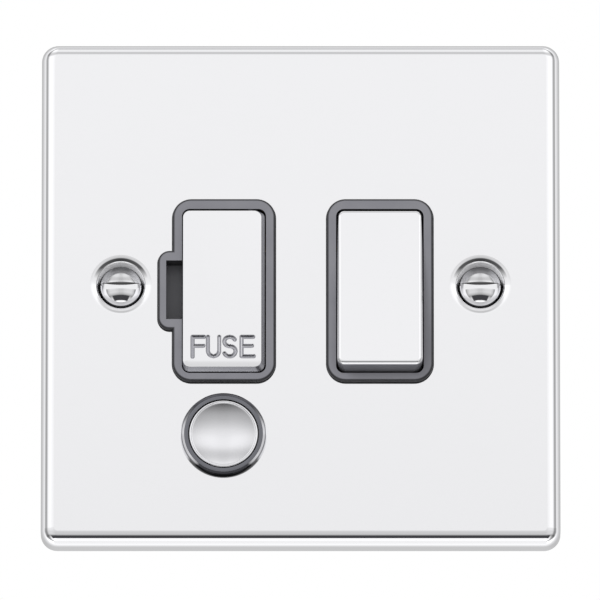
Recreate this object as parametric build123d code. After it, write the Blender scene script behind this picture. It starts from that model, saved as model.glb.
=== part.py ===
from build123d import *
import os
from math import cos, radians, sin

# Fused spur unit: a switched, fused connection unit on a square pressed plate, with a flex outlet.
# Millimetres. X runs to the right, Z up and Y into the wall. The wall surface is at Y = 0, and the
# origin lies on it, midway between the two fixing screws. Depths are Y values, so the front is negative.
# Every piece is drawn about the middle of the collars and then set below the line of the fixing screws.

# Fixing to the wall box
FIXING_CENTRES = 60.3
FIXING_RISE = 1.35
FIXING_SHANK_R = 1.75
FIXING_NECK_R = 1.5
FIXING_REACH = 21.0
FIXING_HEAD_R = 3.6
FIXING_DOME = 1.3
FIXING_SLOT_W = 1.1
FIXING_SLOT_D = 1.0
DIMPLE_MOUTH_R = 4.85
DIMPLE_MOUTH_D = 0.31
DIMPLE_R = 4.0
DIMPLE_DEPTH = 2.0
DIMPLE_WALL = 0.75
DIMPLE_HOLE_R = 2.0
DIMPLE_LIP = 2.0
DIMPLE_EDGE = 0.3

# Pressed front plate
PLATE_W = 87.0
PLATE_H = 87.0
PLATE_DEPTH = 5.0
PLATE_SHEET = 1.0
PLATE_ROLL = 2.25
PLATE_CORNER = 2.8
WINDOW_GAP = 0.1

# Grey insert behind the plate, with a collar for the fuse and one for the switch
FUSE_X = -12.85
SWITCH_X = 13.3
FUSE_COLLAR_W = 17.3
SWITCH_COLLAR_W = 17.9
COLLAR_WALL = 1.6
COLLAR_LIFT = 0.2
COLLAR_PROUD = 1.1
COLLAR_CORNER = 3.2
COLLAR_RIM_EDGE = 0.4
OPENING_CORNER = 1.3
FLANGE_T = 2.0
FLANGE_LAP = 2.1
FLANGE_SIDE_LAP = 0.8
SKIRT_DEPTH = 3.0
SEAT_GAP = 0.15

# Finger notch beside the fuse carrier
NOTCH_BUMP_OUT = 2.45
NOTCH_BUMP_H = 13.7
NOTCH_BUMP_CORNER = 2.0
NOTCH_H = 10.2
NOTCH_WALL = 1.4
NOTCH_DEPTH = 3.4

# Fuse carrier, hinged along its right side
CARRIER_PROUD = 0.5
CARRIER_CAP_T = 0.8
CARRIER_CAP_EDGE = 0.7
CARRIER_CAP_CORNER = 1.8
CARRIER_WALL = 1.3
CARRIER_FREE_GAP = 0.12
CARRIER_HINGE_GAP = 0.4
CARRIER_END_GAP = 0.3
CARRIER_CHEEK_T = 1.2
HINGE_INSET = 2.2
HINGE_DEPTH = 1.5
HINGE_PIN_R = 0.6
HINGE_PIN_LEN = 1.2
PIN_CLEARANCE = 0.06
PIN_END_CLEARANCE = 0.1

# Cartridge fuse
FUSE_LEN = 25.4
FUSE_END_GAP = 0.05
FUSE_R = 3.175
FUSE_CAP_LEN = 6.3
FUSE_CAP_T = 0.35
FUSE_FROM_HINGE_X = -4.9
FUSE_FROM_HINGE_Y = 5.0
CRADLE_LEN = 11.6
CRADLE_WALL = 0.85
CRADLE_MOUTH = 5.0
CRADLE_CLEARANCE = 0.04

# Switch rocker, at rest with its top pressed in
ROCKER_TILT = 6.0
ROCKER_CAP_SETBACK = 0.2
ROCKER_SIDE_GAP = 0.2
ROCKER_END_GAP = 0.2
ROCKER_PIVOT_DEPTH = 2.8
ROCKER_FACE_STANDOFF = 4.2
ROCKER_CAP_T = 0.9
ROCKER_CAP_EDGE = 0.6
ROCKER_CAP_CORNER = 1.2
ROCKER_CORNER = 1.8
ROCKER_WALL = 1.3
ROCKER_SKIRT = 1.5
ROCKER_PIN_R = 1.0
ROCKER_PIN_LEN = 1.2

# Sprung plungers in the rocker, and the see-saw bridges that they press
POLE_SPACING = 7.0
PLUNGER_REACH = 9.5
PLUNGER_R = 1.4
PLUNGER_TIP_R = 1.0
PLUNGER_LEN = 7.5
PLUNGER_TUBE_WALL = 0.75
PLUNGER_TUBE_END = 4.5
PLUNGER_TRAVEL = 0.4
PLUNGER_CLEARANCE = 0.06
SPRING_TURNS = 5
SPRING_WIRE_R = 0.2
SPRING_COIL_R = 1.05
SPRING_LEN = 3.2
BRIDGE_TILT = 7.0
BRIDGE_GAP = 0.12
BRIDGE_T = 0.8
BRIDGE_W = 3.6
BRIDGE_UP = 10.2
BRIDGE_DOWN = 8.5
TRUNNION_R = 0.4
TRUNNION_CLEARANCE = 0.06
CONTACT_AT = 8.6
CONTACT_R = 1.5
CONTACT_H = 0.6
CONTACT_EDGE = 0.35
CONTACT_CLOSED_GAP = 0.15

# Brass strips on the chamber floors
STRIP_T = 0.8
STRIP_W = 4.0
FULCRUM_H = 3.3
FULCRUM_CHEEK_T = 0.7
FULCRUM_CHEEK_GAP = 0.4
FULCRUM_CHEEK_Z = 2.0
LINK_W = 2.9
CHANNEL_GAP = 0.1
CLIP_T = 0.5
CLIP_W = 4.4
CLIP_GAP = 0.3
CLIP_TONGUE = 4.7
CLIP_LIP = 0.9
CLIP_FOOT = 2.2

# Terminals
TERMINAL_W = 7.4
TERMINAL_D = 9.0
TERMINAL_L = 9.0
TERMINAL_EDGE = 0.5
TERMINAL_STAND = 4.15
TERMINAL_RECESS = 1.0
TERMINAL_BORE_R = 2.0
TERMINAL_BORE_DEPTH = 3.2
TERMINAL_GAP = 0.15
TERMINAL_PITCH = 9.0
LOAD_LIVE_X = 1.2
LOAD_NEUTRAL_X = 17.2
EARTH_X = -16.0
TERMINAL_SCREW_R = 1.55
TERMINAL_SCREW_CLEARANCE = 0.05
TERMINAL_SCREW_TIP_GAP = 0.5
TERMINAL_SCREW_LEN = 4.6
TERMINAL_HEAD_R = 2.6
TERMINAL_HEAD_H = 1.8
TERMINAL_SLOT_W = 0.8
TERMINAL_SLOT_D = 0.9
EARTH_LEG_W = 3.6
EARTH_FOOT = 6.4

# Rear base
BASE_WALL = 1.6
BASE_SIDE_WALL = 2.85
BASE_FLOOR_T = 3.2
BASE_CORNER = 1.2
BASE_BACK_EDGE = 0.6
BASE_CORE_D = 1.4
BASE_CORE_ROWS = 3
BASE_CORE_RIB = 1.5
BASE_CORE_CORNER = 0.8
BARRIER_H = 2.0

# Threaded posts on the plate and the screws that clamp the base to them
POST_Z = 7.0
POST_R = 2.4
POST_LEN = 10.0
POST_GAP = 0.15
ASSEMBLY_SCREW_R = 1.25
ASSEMBLY_SCREW_IN_POST = 4.0
ASSEMBLY_HEAD_R = 2.5
ASSEMBLY_HEAD_H = 1.6
ASSEMBLY_WELL = 1.0

# Flex outlet: bush, blanking plug and cord grip
FLEX_X = -12.9
FLEX_DROP = 8.95
BUSH_FLANGE_R = 7.2
BUSH_FLANGE_T = 1.3
BUSH_FLANGE_EDGE = 0.9
BUSH_BARREL_R = 6.1
BUSH_BORE_R = 5.08
BUSH_BARB_OUT = 0.6
BUSH_BARB_T = 1.1
BUSH_SLOTS = 4
BUSH_SLOT_W = 1.6
BUSH_HOLE_GAP = 0.15
DISC_R = 5.8
DISC_RECESS_GAP = 0.15
DISC_RECESS_D = 1.3
DISC_T = 0.3
DISC_DISH = 0.8
DISC_EDGE = 0.3
PLUG_CLEARANCE = 0.08
PLUG_WALL = 1.0
PLUG_LEN = 3.2
PLUG_SLITS = 4
PLUG_SLIT_W = 0.8
PLUG_SLIT_D = 2.0
GRIP_ROOM_R = 5.15
GRIP_W = 18.8
GRIP_DEPTH = 7.0
GRIP_T = 3.0
GRIP_FRONT = 2.5
GRIP_RIB_H = 0.5
GRIP_SCREW_OFFSET = 6.75
GRIP_SCREW_R = 1.5
GRIP_SCREW_BITE = 4.0
GRIP_HEAD_R = 2.5
GRIP_HEAD_H = 1.7

# Depths that follow from the sizes above
PLATE_FRONT = -PLATE_DEPTH
PLATE_INNER = PLATE_FRONT + PLATE_SHEET
COLLAR_RIM = PLATE_FRONT - COLLAR_PROUD
FLANGE_BACK = PLATE_INNER + FLANGE_T
SKIRT_BACK = FLANGE_BACK + SKIRT_DEPTH
CARRIER_FACE = COLLAR_RIM - CARRIER_PROUD
CARRIER_CAP_BACK = CARRIER_FACE + CARRIER_CAP_T
CARRIER_WALL_BACK = CARRIER_CAP_BACK + CARRIER_WALL
HINGE_Y = CARRIER_FACE + HINGE_DEPTH
FUSE_Y = HINGE_Y + FUSE_FROM_HINGE_Y
ROCKER_PIVOT_Y = COLLAR_RIM + ROCKER_PIVOT_DEPTH
BRIDGE_Y = ROCKER_PIVOT_Y + PLUNGER_REACH + BRIDGE_GAP + BRIDGE_T / 2
STRIP_FRONT = BRIDGE_Y + FULCRUM_H
CHAMBER_FLOOR = STRIP_FRONT + STRIP_T
BASE_BACK = CHAMBER_FLOOR + BASE_FLOOR_T
TERMINAL_BACK = BASE_BACK - TERMINAL_RECESS
TERMINAL_FRONT = TERMINAL_BACK - TERMINAL_D
TERMINAL_BORE_Y = TERMINAL_FRONT + TERMINAL_BORE_DEPTH
GRIP_Y = GRIP_FRONT + GRIP_DEPTH / 2
ASSEMBLY_SEAT = BASE_BACK - ASSEMBLY_WELL

# Places across the face that follow from the sizes above
CARRIER_H = FUSE_LEN + 2 * (FUSE_END_GAP + CARRIER_CHEEK_T)
OPENING_H = CARRIER_H + 2 * CARRIER_END_GAP
COLLAR_H = OPENING_H + 2 * COLLAR_WALL
FLEX_Z = -COLLAR_H / 2 - FLEX_DROP
TERMINAL_INNER_Z = COLLAR_H / 2 + TERMINAL_STAND
SEAT_R = FIXING_HEAD_R + PIN_CLEARANCE
FUSE_OPENING_W = FUSE_COLLAR_W - 2 * COLLAR_WALL
SWITCH_OPENING_W = SWITCH_COLLAR_W - 2 * COLLAR_WALL
FUSE_LEFT = FUSE_X - FUSE_OPENING_W / 2
FUSE_RIGHT = FUSE_X + FUSE_OPENING_W / 2
SWITCH_LEFT = SWITCH_X - SWITCH_OPENING_W / 2
NOTCH_OUTER = FUSE_X - FUSE_COLLAR_W / 2 - NOTCH_BUMP_OUT
CARRIER_LEFT = FUSE_LEFT + CARRIER_FREE_GAP
CARRIER_RIGHT = FUSE_RIGHT - CARRIER_HINGE_GAP
CARRIER_W = CARRIER_RIGHT - CARRIER_LEFT
CARRIER_MID = (CARRIER_LEFT + CARRIER_RIGHT) / 2
HINGE_X = CARRIER_RIGHT - HINGE_INSET
SWING_R = HINGE_X - CARRIER_LEFT
FUSE_AT_X = HINGE_X + FUSE_FROM_HINGE_X
ROCKER_W = SWITCH_OPENING_W - 2 * ROCKER_SIDE_GAP
ROCKER_END_R = OPENING_H / 2 - ROCKER_END_GAP
ROCKER_LEN = 2 * (ROCKER_END_R - ROCKER_CAP_SETBACK)
LIVE_X = SWITCH_X - POLE_SPACING / 2
NEUTRAL_X = SWITCH_X + POLE_SPACING / 2
SUPPLY_LIVE_X = LOAD_LIVE_X + TERMINAL_PITCH
SUPPLY_NEUTRAL_X = SUPPLY_LIVE_X + TERMINAL_PITCH
EARTH_2_X = EARTH_X + TERMINAL_PITCH
LINK_TOP = OPENING_H / 2 - CHANNEL_GAP
LINK_BOTTOM = LINK_TOP - LINK_W
POST_X = (FUSE_X + FUSE_COLLAR_W / 2 + SWITCH_X - SWITCH_COLLAR_W / 2) / 2
BASE_LEFT = FUSE_X - FUSE_COLLAR_W / 2 - BASE_SIDE_WALL
BASE_RIGHT = SUPPLY_NEUTRAL_X + TERMINAL_W / 2 + TERMINAL_GAP + BASE_WALL
BASE_END = TERMINAL_INNER_Z + TERMINAL_L + TERMINAL_GAP * 4
BASE_BANK_LEFT = LOAD_LIVE_X - TERMINAL_W / 2 - TERMINAL_GAP - BASE_WALL
GRIP_SADDLE_Z = FLEX_Z + GRIP_ROOM_R
GRIP_BAR_TOP = FLEX_Z - GRIP_ROOM_R


def facing(y):
    """Plane parallel to the wall at depth y: sketch u is X, v is Z, and it faces the front."""
    return Plane(origin=(0, y, 0), x_dir=(1, 0, 0), z_dir=(0, -1, 0))


def slab(outline, front, back):
    """Outline drawn in X and Z, filled from depth front to depth back."""
    return extrude(facing(back) * outline, back - front, dir=(0, -1, 0))


def across(outline, left, right):
    """Outline drawn in Y and Z, filled from left to right."""
    side = Plane(origin=(left, 0, 0), x_dir=(0, 1, 0), z_dir=(1, 0, 0))
    return extrude(side * outline, right - left, dir=(1, 0, 0))


def upright(outline, bottom, top):
    """Outline drawn in X and Y, filled from bottom to top."""
    return extrude(Pos(0, 0, bottom) * outline, top - bottom, dir=(0, 0, 1))


def turned(profile, x=0, z=0):
    """Profile drawn as radius and depth, turned about an axis along Y."""
    return Pos(x, 0, z) * revolve(profile, Axis.Y)


def window(left, right, bottom, top):
    """Plain rectangle between two X and two Z values."""
    return Pos((left + right) / 2, (bottom + top) / 2) * Rectangle(right - left, top - bottom)


def shape(*points):
    """Flat outline through corner points."""
    return Polygon(*points, align=None)


def fuse_collar_outline(margin=0.0):
    """Outside of the fuse collar with its finger-notch bump, grown by a margin."""
    collar = RectangleRounded(FUSE_COLLAR_W + 2 * margin, COLLAR_H + 2 * margin, COLLAR_CORNER + margin)
    bump_w = FUSE_X - NOTCH_OUTER + margin
    bump = RectangleRounded(bump_w, NOTCH_BUMP_H + 2 * margin, NOTCH_BUMP_CORNER + margin)
    return Pos(FUSE_X, COLLAR_LIFT) * collar + Pos(FUSE_X - bump_w / 2, COLLAR_LIFT) * bump


def switch_collar_outline(margin=0.0):
    """Outside of the switch collar, grown by a margin."""
    return Pos(SWITCH_X, COLLAR_LIFT) * RectangleRounded(
        SWITCH_COLLAR_W + 2 * margin, COLLAR_H + 2 * margin, COLLAR_CORNER + margin
    )


def fuse_opening():
    return Pos(FUSE_X, 0) * RectangleRounded(FUSE_OPENING_W, OPENING_H, OPENING_CORNER)


def switch_opening():
    return Pos(SWITCH_X, 0) * RectangleRounded(SWITCH_OPENING_W, OPENING_H, OPENING_CORNER)


def fixing_places():
    return [(-FIXING_CENTRES / 2, FIXING_RISE), (FIXING_CENTRES / 2, FIXING_RISE)]


def post_places():
    return [(POST_X, POST_Z), (POST_X, -POST_Z)]


def dimple(margin=0.0):
    """Half section of a screw dimple: a shallow mouth, a steep wall and a countersunk seat."""
    seat = PLATE_FRONT + DIMPLE_DEPTH
    back = seat + SEAT_R - DIMPLE_HOLE_R
    return shape(
        (0, PLATE_FRONT),
        (DIMPLE_MOUTH_R + margin, PLATE_FRONT),
        (DIMPLE_R + margin, PLATE_FRONT + DIMPLE_MOUTH_D),
        (SEAT_R + margin, seat),
        (DIMPLE_HOLE_R + margin, back),
        (0, back),
    )


def make_front_plate():
    """Pressed sheet with rolled edges, two windows, the flex hole and two screw dimples."""
    outline = RectangleRounded(PLATE_W, PLATE_H, PLATE_CORNER)
    plate = slab(outline, PLATE_FRONT, 0)
    plate = fillet(plate.faces().sort_by(Axis.Y)[0].edges(), PLATE_ROLL)
    inner_w = PLATE_W - 2 * PLATE_SHEET
    inner_h = PLATE_H - 2 * PLATE_SHEET
    inside = RectangleRounded(inner_w, inner_h, PLATE_CORNER - PLATE_SHEET)
    hollow = slab(inside, PLATE_INNER, 0)
    plate -= fillet(hollow.faces().sort_by(Axis.Y)[0].edges(), PLATE_ROLL - PLATE_SHEET)
    for x, z in fixing_places():
        plate += turned(dimple(DIMPLE_WALL), x, z)
        plate -= turned(dimple(), x, z)
    for radius, rounding in ((DIMPLE_MOUTH_R, DIMPLE_LIP), (DIMPLE_R, DIMPLE_EDGE)):
        circles = plate.edges().filter_by(GeomType.CIRCLE)
        plate = fillet(circles.filter_by(lambda e: abs(e.radius - radius) < 0.01), rounding)
    plate -= slab(fuse_collar_outline(WINDOW_GAP), PLATE_FRONT, PLATE_INNER)
    plate -= slab(switch_collar_outline(WINDOW_GAP), PLATE_FRONT, PLATE_INNER)
    flex_hole = Pos(FLEX_X, FLEX_Z) * Circle(BUSH_BARREL_R + BUSH_HOLE_GAP)
    plate -= slab(flex_hole, PLATE_FRONT, PLATE_INNER)
    return plate


def make_plate_posts():
    """Two threaded posts welded to the back of the plate."""
    post = Circle(POST_R) - Circle(ASSEMBLY_SCREW_R)
    return [slab(Pos(x, z) * post, PLATE_INNER, PLATE_INNER + POST_LEN) for x, z in post_places()]


def make_front_insert():
    """Grey moulding: a flange behind the plate, collars through it and skirts behind it."""
    flange_left = NOTCH_OUTER - FLANGE_SIDE_LAP
    flange_right = SWITCH_X + SWITCH_COLLAR_W / 2 + FLANGE_LAP
    flange_h = COLLAR_H + 2 * FLANGE_LAP
    flange = RectangleRounded(flange_right - flange_left, flange_h, COLLAR_CORNER)
    insert = slab(Pos((flange_left + flange_right) / 2, 0) * flange, PLATE_INNER, FLANGE_BACK)
    insert += slab(fuse_collar_outline(), COLLAR_RIM, PLATE_INNER)
    insert += slab(switch_collar_outline(), COLLAR_RIM, PLATE_INNER)
    rims = insert.edges().filter_by_position(Axis.Y, COLLAR_RIM - 0.01, COLLAR_RIM + 0.01)
    insert = fillet(rims, COLLAR_RIM_EDGE)
    fuse_skirt = Pos(FUSE_X, 0) * RectangleRounded(FUSE_COLLAR_W, COLLAR_H, COLLAR_CORNER)
    insert += slab(fuse_skirt, FLANGE_BACK, SKIRT_BACK)
    insert += slab(switch_collar_outline(), FLANGE_BACK, SKIRT_BACK)
    insert -= slab(fuse_opening(), COLLAR_RIM, SKIRT_BACK)
    insert -= slab(switch_opening(), COLLAR_RIM, SKIRT_BACK)
    notch_left = NOTCH_OUTER + NOTCH_WALL
    notch_low = COLLAR_LIFT - NOTCH_H / 2
    notch = window(notch_left, FUSE_LEFT + OPENING_CORNER, notch_low, notch_low + NOTCH_H)
    insert -= slab(notch, COLLAR_RIM, COLLAR_RIM + NOTCH_DEPTH)
    hinge_hole = Pos(HINGE_X, HINGE_Y) * Circle(HINGE_PIN_R + PIN_CLEARANCE)
    hole_end = CARRIER_H / 2 + HINGE_PIN_LEN + PIN_END_CLEARANCE
    insert -= upright(hinge_hole, -hole_end, hole_end)
    pivot_hole = Pos(ROCKER_PIVOT_Y, 0) * Circle(ROCKER_PIN_R + PIN_CLEARANCE)
    hole_reach = ROCKER_W / 2 + ROCKER_PIN_LEN + PIN_END_CLEARANCE
    insert -= across(pivot_hole, SWITCH_X - hole_reach, SWITCH_X + hole_reach)
    for x, z in post_places():
        insert -= slab(Pos(x, z) * Circle(POST_R + POST_GAP), PLATE_INNER, FLANGE_BACK)
    return insert


def make_fuse_carrier():
    """Grey carrier: face wall, two hinge cheeks with pins, and an open clip that holds the fuse."""
    face = Pos(CARRIER_MID, 0) * RectangleRounded(CARRIER_W, CARRIER_H, CARRIER_CAP_CORNER)
    carrier = slab(face, CARRIER_CAP_BACK, CARRIER_WALL_BACK)
    bore = Pos(FUSE_AT_X, FUSE_Y) * Circle(FUSE_R + CRADLE_CLEARANCE)
    ring = Pos(FUSE_AT_X, FUSE_Y) * Circle(FUSE_R + CRADLE_CLEARANCE + CRADLE_WALL)
    web_depth = FUSE_Y - CARRIER_CAP_BACK
    web = Pos(FUSE_AT_X, FUSE_Y - web_depth / 2) * Rectangle(CRADLE_MOUTH, web_depth)
    mouth = Pos(FUSE_AT_X, FUSE_Y + FUSE_R) * Rectangle(CRADLE_MOUTH, 2 * FUSE_R)
    carrier += upright(ring + web - bore - mouth, -CRADLE_LEN / 2, CRADLE_LEN / 2)
    swing = Pos(HINGE_X, HINGE_Y) * Circle(SWING_R - OPENING_CORNER / 2)
    cheek_back = FUSE_Y + FUSE_R / 2
    cheek_mid = (CARRIER_CAP_BACK + cheek_back) / 2
    cheek_box = Pos(CARRIER_LEFT + SWING_R / 2, cheek_mid) * Rectangle(
        SWING_R + 2 * HINGE_PIN_R, cheek_back - CARRIER_CAP_BACK
    )
    pin = Pos(HINGE_X, HINGE_Y) * Circle(HINGE_PIN_R)
    cheek_outer = CARRIER_H / 2
    cheek_inner = cheek_outer - CARRIER_CHEEK_T
    pin_end = cheek_outer + HINGE_PIN_LEN
    for low, high, pin_low, pin_high in (
        (cheek_inner, cheek_outer, cheek_inner, pin_end),
        (-cheek_outer, -cheek_inner, -pin_end, -cheek_inner),
    ):
        carrier += upright(cheek_box & swing, low, high)
        carrier += upright(pin, pin_low, pin_high)
    return carrier


def make_fuse_carrier_cap():
    """Chrome face of the carrier, with soft edges."""
    face = Pos(CARRIER_MID, 0) * RectangleRounded(CARRIER_W, CARRIER_H, CARRIER_CAP_CORNER)
    cap = slab(face, CARRIER_FACE, CARRIER_CAP_BACK)
    return fillet(cap.faces().sort_by(Axis.Y)[0].edges(), CARRIER_CAP_EDGE)


def make_fuse_barrel():
    """Ceramic body of the cartridge fuse, waisted where the end caps are crimped on."""
    end = FUSE_LEN / 2 - FUSE_CAP_T
    middle = FUSE_LEN / 2 - FUSE_CAP_LEN
    place = Pos(FUSE_AT_X, FUSE_Y)
    barrel = upright(place * Circle(FUSE_R - FUSE_CAP_T), -end, end)
    return barrel + upright(place * Circle(FUSE_R), -middle, middle)


def make_fuse_end_caps():
    """Two plated cups over the ends of the fuse."""
    place = Pos(FUSE_AT_X, FUSE_Y)
    cups = []
    for side in (1, -1):
        inner = side * (FUSE_LEN / 2 - FUSE_CAP_LEN)
        end = side * FUSE_LEN / 2
        seat = side * (FUSE_LEN / 2 - FUSE_CAP_T)
        cup = upright(place * Circle(FUSE_R), min(inner, end), max(inner, end))
        cup = fillet(cup.faces().sort_by(Axis.Z)[-1 if side > 0 else 0].edges(), FUSE_CAP_T)
        cups.append(cup - upright(place * Circle(FUSE_R - FUSE_CAP_T), min(inner, seat), max(inner, seat)))
    return cups


def rocker_place():
    """Rocker frame: origin on its pivot, turned to the off position."""
    return Pos(SWITCH_X, ROCKER_PIVOT_Y, 0) * Rot(X=-ROCKER_TILT)


def rocker_poles():
    return (-POLE_SPACING / 2, POLE_SPACING / 2)


def make_switch_rocker():
    """Grey rocker: a hollow body with round ends, two pivot pins and two plunger tubes."""
    front = -ROCKER_FACE_STANDOFF + ROCKER_CAP_T
    ends = Circle(ROCKER_END_R) & Pos((front + ROCKER_SKIRT) / 2, 0) * Rectangle(
        ROCKER_SKIRT - front, 2 * ROCKER_END_R
    )
    inside_r = ROCKER_END_R - ROCKER_WALL
    inside_front = front + ROCKER_WALL
    inside = Circle(inside_r) & Pos((inside_front + ROCKER_SKIRT) / 2, 0) * Rectangle(
        ROCKER_SKIRT - inside_front, 2 * inside_r
    )
    half = ROCKER_W / 2
    plan = RectangleRounded(ROCKER_W, 2 * ROCKER_END_R, ROCKER_CORNER)
    rocker = across(ends, -half, half) & slab(plan, front, ROCKER_SKIRT)
    rocker -= across(inside, -half + ROCKER_WALL, half - ROCKER_WALL)
    pin = across(Circle(ROCKER_PIN_R), -half - ROCKER_PIN_LEN, -half + ROCKER_WALL)
    rocker += pin + mirror(pin, Plane.YZ)
    tube_r = PLUNGER_R + PLUNGER_CLEARANCE
    bore_front = PLUNGER_REACH - PLUNGER_LEN - SPRING_LEN - PLUNGER_TRAVEL - PIN_END_CLEARANCE
    for x in rocker_poles():
        tube = Pos(x, 0) * Circle(tube_r + PLUNGER_TUBE_WALL)
        rocker += slab(tube, front, PLUNGER_TUBE_END)
        rocker -= slab(Pos(x, 0) * Circle(tube_r), bore_front, PLUNGER_TUBE_END)
    return rocker_place() * rocker


def make_rocker_cap():
    """Chrome face of the rocker."""
    face = RectangleRounded(ROCKER_W, ROCKER_LEN, ROCKER_CAP_CORNER)
    cap = slab(face, -ROCKER_FACE_STANDOFF, -ROCKER_FACE_STANDOFF + ROCKER_CAP_T)
    cap = fillet(cap.faces().sort_by(Axis.Y)[0].edges(), ROCKER_CAP_EDGE)
    return rocker_place() * cap


def make_plunger(x):
    """Sprung plunger with a round nose, in its tube in the rocker."""
    nose = PLUNGER_REACH - PLUNGER_TIP_R
    shoulder = nose - PLUNGER_R
    start = PLUNGER_REACH - PLUNGER_LEN
    with BuildSketch() as profile:
        with BuildLine():
            stem = Polyline((0, start), (PLUNGER_R, start), (PLUNGER_R, shoulder), (PLUNGER_TIP_R, nose))
            tip = RadiusArc(stem @ 1, (0, PLUNGER_REACH), -PLUNGER_TIP_R)
            Line(tip @ 1, stem @ 0)
        make_face()
    return rocker_place() * turned(profile.sketch, x)


def make_plunger_spring(x):
    """Coil spring that seats on the plunger, with its coils along the tube."""
    coil_len = SPRING_LEN - 2 * SPRING_WIRE_R
    path = Helix(pitch=coil_len / SPRING_TURNS, height=coil_len, radius=SPRING_COIL_R)
    section = Plane(origin=path @ 0, z_dir=path % 0) * Circle(SPRING_WIRE_R)
    coil = sweep(section, path=path, is_frenet=True)
    start = PLUNGER_REACH - PLUNGER_LEN - SPRING_LEN + SPRING_WIRE_R
    return rocker_place() * Pos(x, start, 0) * Rot(X=-90) * coil


def make_bridge(x):
    """See-saw contact: a flat brass strip with trunnions and a contact button behind its upper end."""
    half = BRIDGE_W / 2
    blade = window(-half, half, -BRIDGE_DOWN, BRIDGE_UP)
    blade = fillet(blade.vertices(), half / 2)
    bridge = slab(blade, -BRIDGE_T / 2, BRIDGE_T / 2)
    trunnion = half + FULCRUM_CHEEK_GAP + FULCRUM_CHEEK_T
    bridge += across(Circle(TRUNNION_R), -trunnion, trunnion)
    button = slab(Pos(0, CONTACT_AT) * Circle(CONTACT_R), 0, BRIDGE_T / 2 + CONTACT_H)
    bridge += fillet(button.faces().sort_by(Axis.Y)[-1].edges(), CONTACT_EDGE)
    return Pos(x, BRIDGE_Y, 0) * Rot(X=BRIDGE_TILT) * bridge


def make_fulcrum(x):
    """Brass bracket: notched cheeks that carry the see-saw, on a strip down to the supply terminal."""
    half = BRIDGE_W / 2 + FULCRUM_CHEEK_GAP
    outer = half + FULCRUM_CHEEK_T
    tab_front = STRIP_FRONT - 2 * STRIP_T
    end = -TERMINAL_INNER_Z
    side = shape(
        (STRIP_FRONT, FULCRUM_CHEEK_Z),
        (STRIP_FRONT, end + STRIP_T),
        (tab_front, end + STRIP_T),
        (tab_front, end),
        (CHAMBER_FLOOR, end),
        (CHAMBER_FLOOR, FULCRUM_CHEEK_Z),
    )
    bracket = across(side, x - STRIP_W / 2, x + STRIP_W / 2)
    foot = shape(
        (STRIP_FRONT, -FULCRUM_CHEEK_Z),
        (STRIP_FRONT, FULCRUM_CHEEK_Z),
        (CHAMBER_FLOOR, FULCRUM_CHEEK_Z),
        (CHAMBER_FLOOR, -FULCRUM_CHEEK_Z),
    )
    bracket += across(foot, x - outer, x + outer)
    cheek = shape(
        (BRIDGE_Y, -FULCRUM_CHEEK_Z / 2),
        (BRIDGE_Y, FULCRUM_CHEEK_Z / 2),
        (STRIP_FRONT, FULCRUM_CHEEK_Z),
        (STRIP_FRONT, -FULCRUM_CHEEK_Z),
    )
    cheek -= Pos(BRIDGE_Y, 0) * Circle(TRUNNION_R + TRUNNION_CLEARANCE)
    bracket += across(cheek, x - outer, x - half) + across(cheek, x + half, x + outer)
    return bracket


def contact_front():
    """Depth of a fixed contact's face, just clear of the bridge's button when the switch is on."""
    tilt = radians(BRIDGE_TILT)
    button_back = BRIDGE_T / 2 + CONTACT_H
    reach = CONTACT_AT + CONTACT_R - CONTACT_EDGE
    return BRIDGE_Y + button_back * cos(tilt) + reach * sin(tilt) + CONTACT_CLOSED_GAP


def contact_button(x):
    z = CONTACT_AT * cos(radians(BRIDGE_TILT))
    return slab(Pos(x, z) * Circle(CONTACT_R), contact_front(), STRIP_FRONT)


def make_live_fixed_contact():
    """Strip from the live switch contact across the base to the upper fuse clip."""
    foot = CONTACT_AT - CONTACT_R
    strip = window(LIVE_X - STRIP_W / 2, LIVE_X + STRIP_W / 2, foot, LINK_TOP)
    strip += window(FUSE_AT_X - CLIP_W / 2, LIVE_X, LINK_BOTTOM, LINK_TOP)
    return slab(strip, STRIP_FRONT, CHAMBER_FLOOR) + contact_button(LIVE_X)


def make_neutral_fixed_contact():
    """Strip from the neutral switch contact up to the load neutral terminal."""
    foot = CONTACT_AT - CONTACT_R
    tab_front = STRIP_FRONT - 2 * STRIP_T
    end = TERMINAL_INNER_Z
    side = shape(
        (STRIP_FRONT, foot),
        (STRIP_FRONT, end - STRIP_T),
        (tab_front, end - STRIP_T),
        (tab_front, end),
        (CHAMBER_FLOOR, end),
        (CHAMBER_FLOOR, foot),
    )
    return across(side, NEUTRAL_X - STRIP_W / 2, NEUTRAL_X + STRIP_W / 2) + contact_button(NEUTRAL_X)


def clip_profile():
    """Side view of a fuse clip: lip, tongue behind the fuse, leg and foot."""
    front = FUSE_Y + FUSE_R + CLIP_GAP
    back = front + CLIP_T
    foot_back = STRIP_FRONT
    foot_front = foot_back - CLIP_T
    leg_outer = LINK_TOP - CLIP_FOOT
    leg_inner = leg_outer - CLIP_T
    tongue = leg_outer - CLIP_TONGUE
    return shape(
        (front + CLIP_LIP, tongue - CLIP_LIP),
        (front, tongue),
        (front, leg_outer),
        (foot_front, leg_outer),
        (foot_front, LINK_TOP),
        (foot_back, LINK_TOP),
        (foot_back, leg_inner),
        (back, leg_inner),
        (back, tongue + CLIP_T / 2),
        (back + CLIP_LIP, tongue + CLIP_T / 2 - CLIP_LIP),
    )


def make_fuse_clip_upper():
    """Sprung contact for the upper end of the fuse, standing on the live strip."""
    return across(clip_profile(), FUSE_AT_X - CLIP_W / 2, FUSE_AT_X + CLIP_W / 2)


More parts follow.
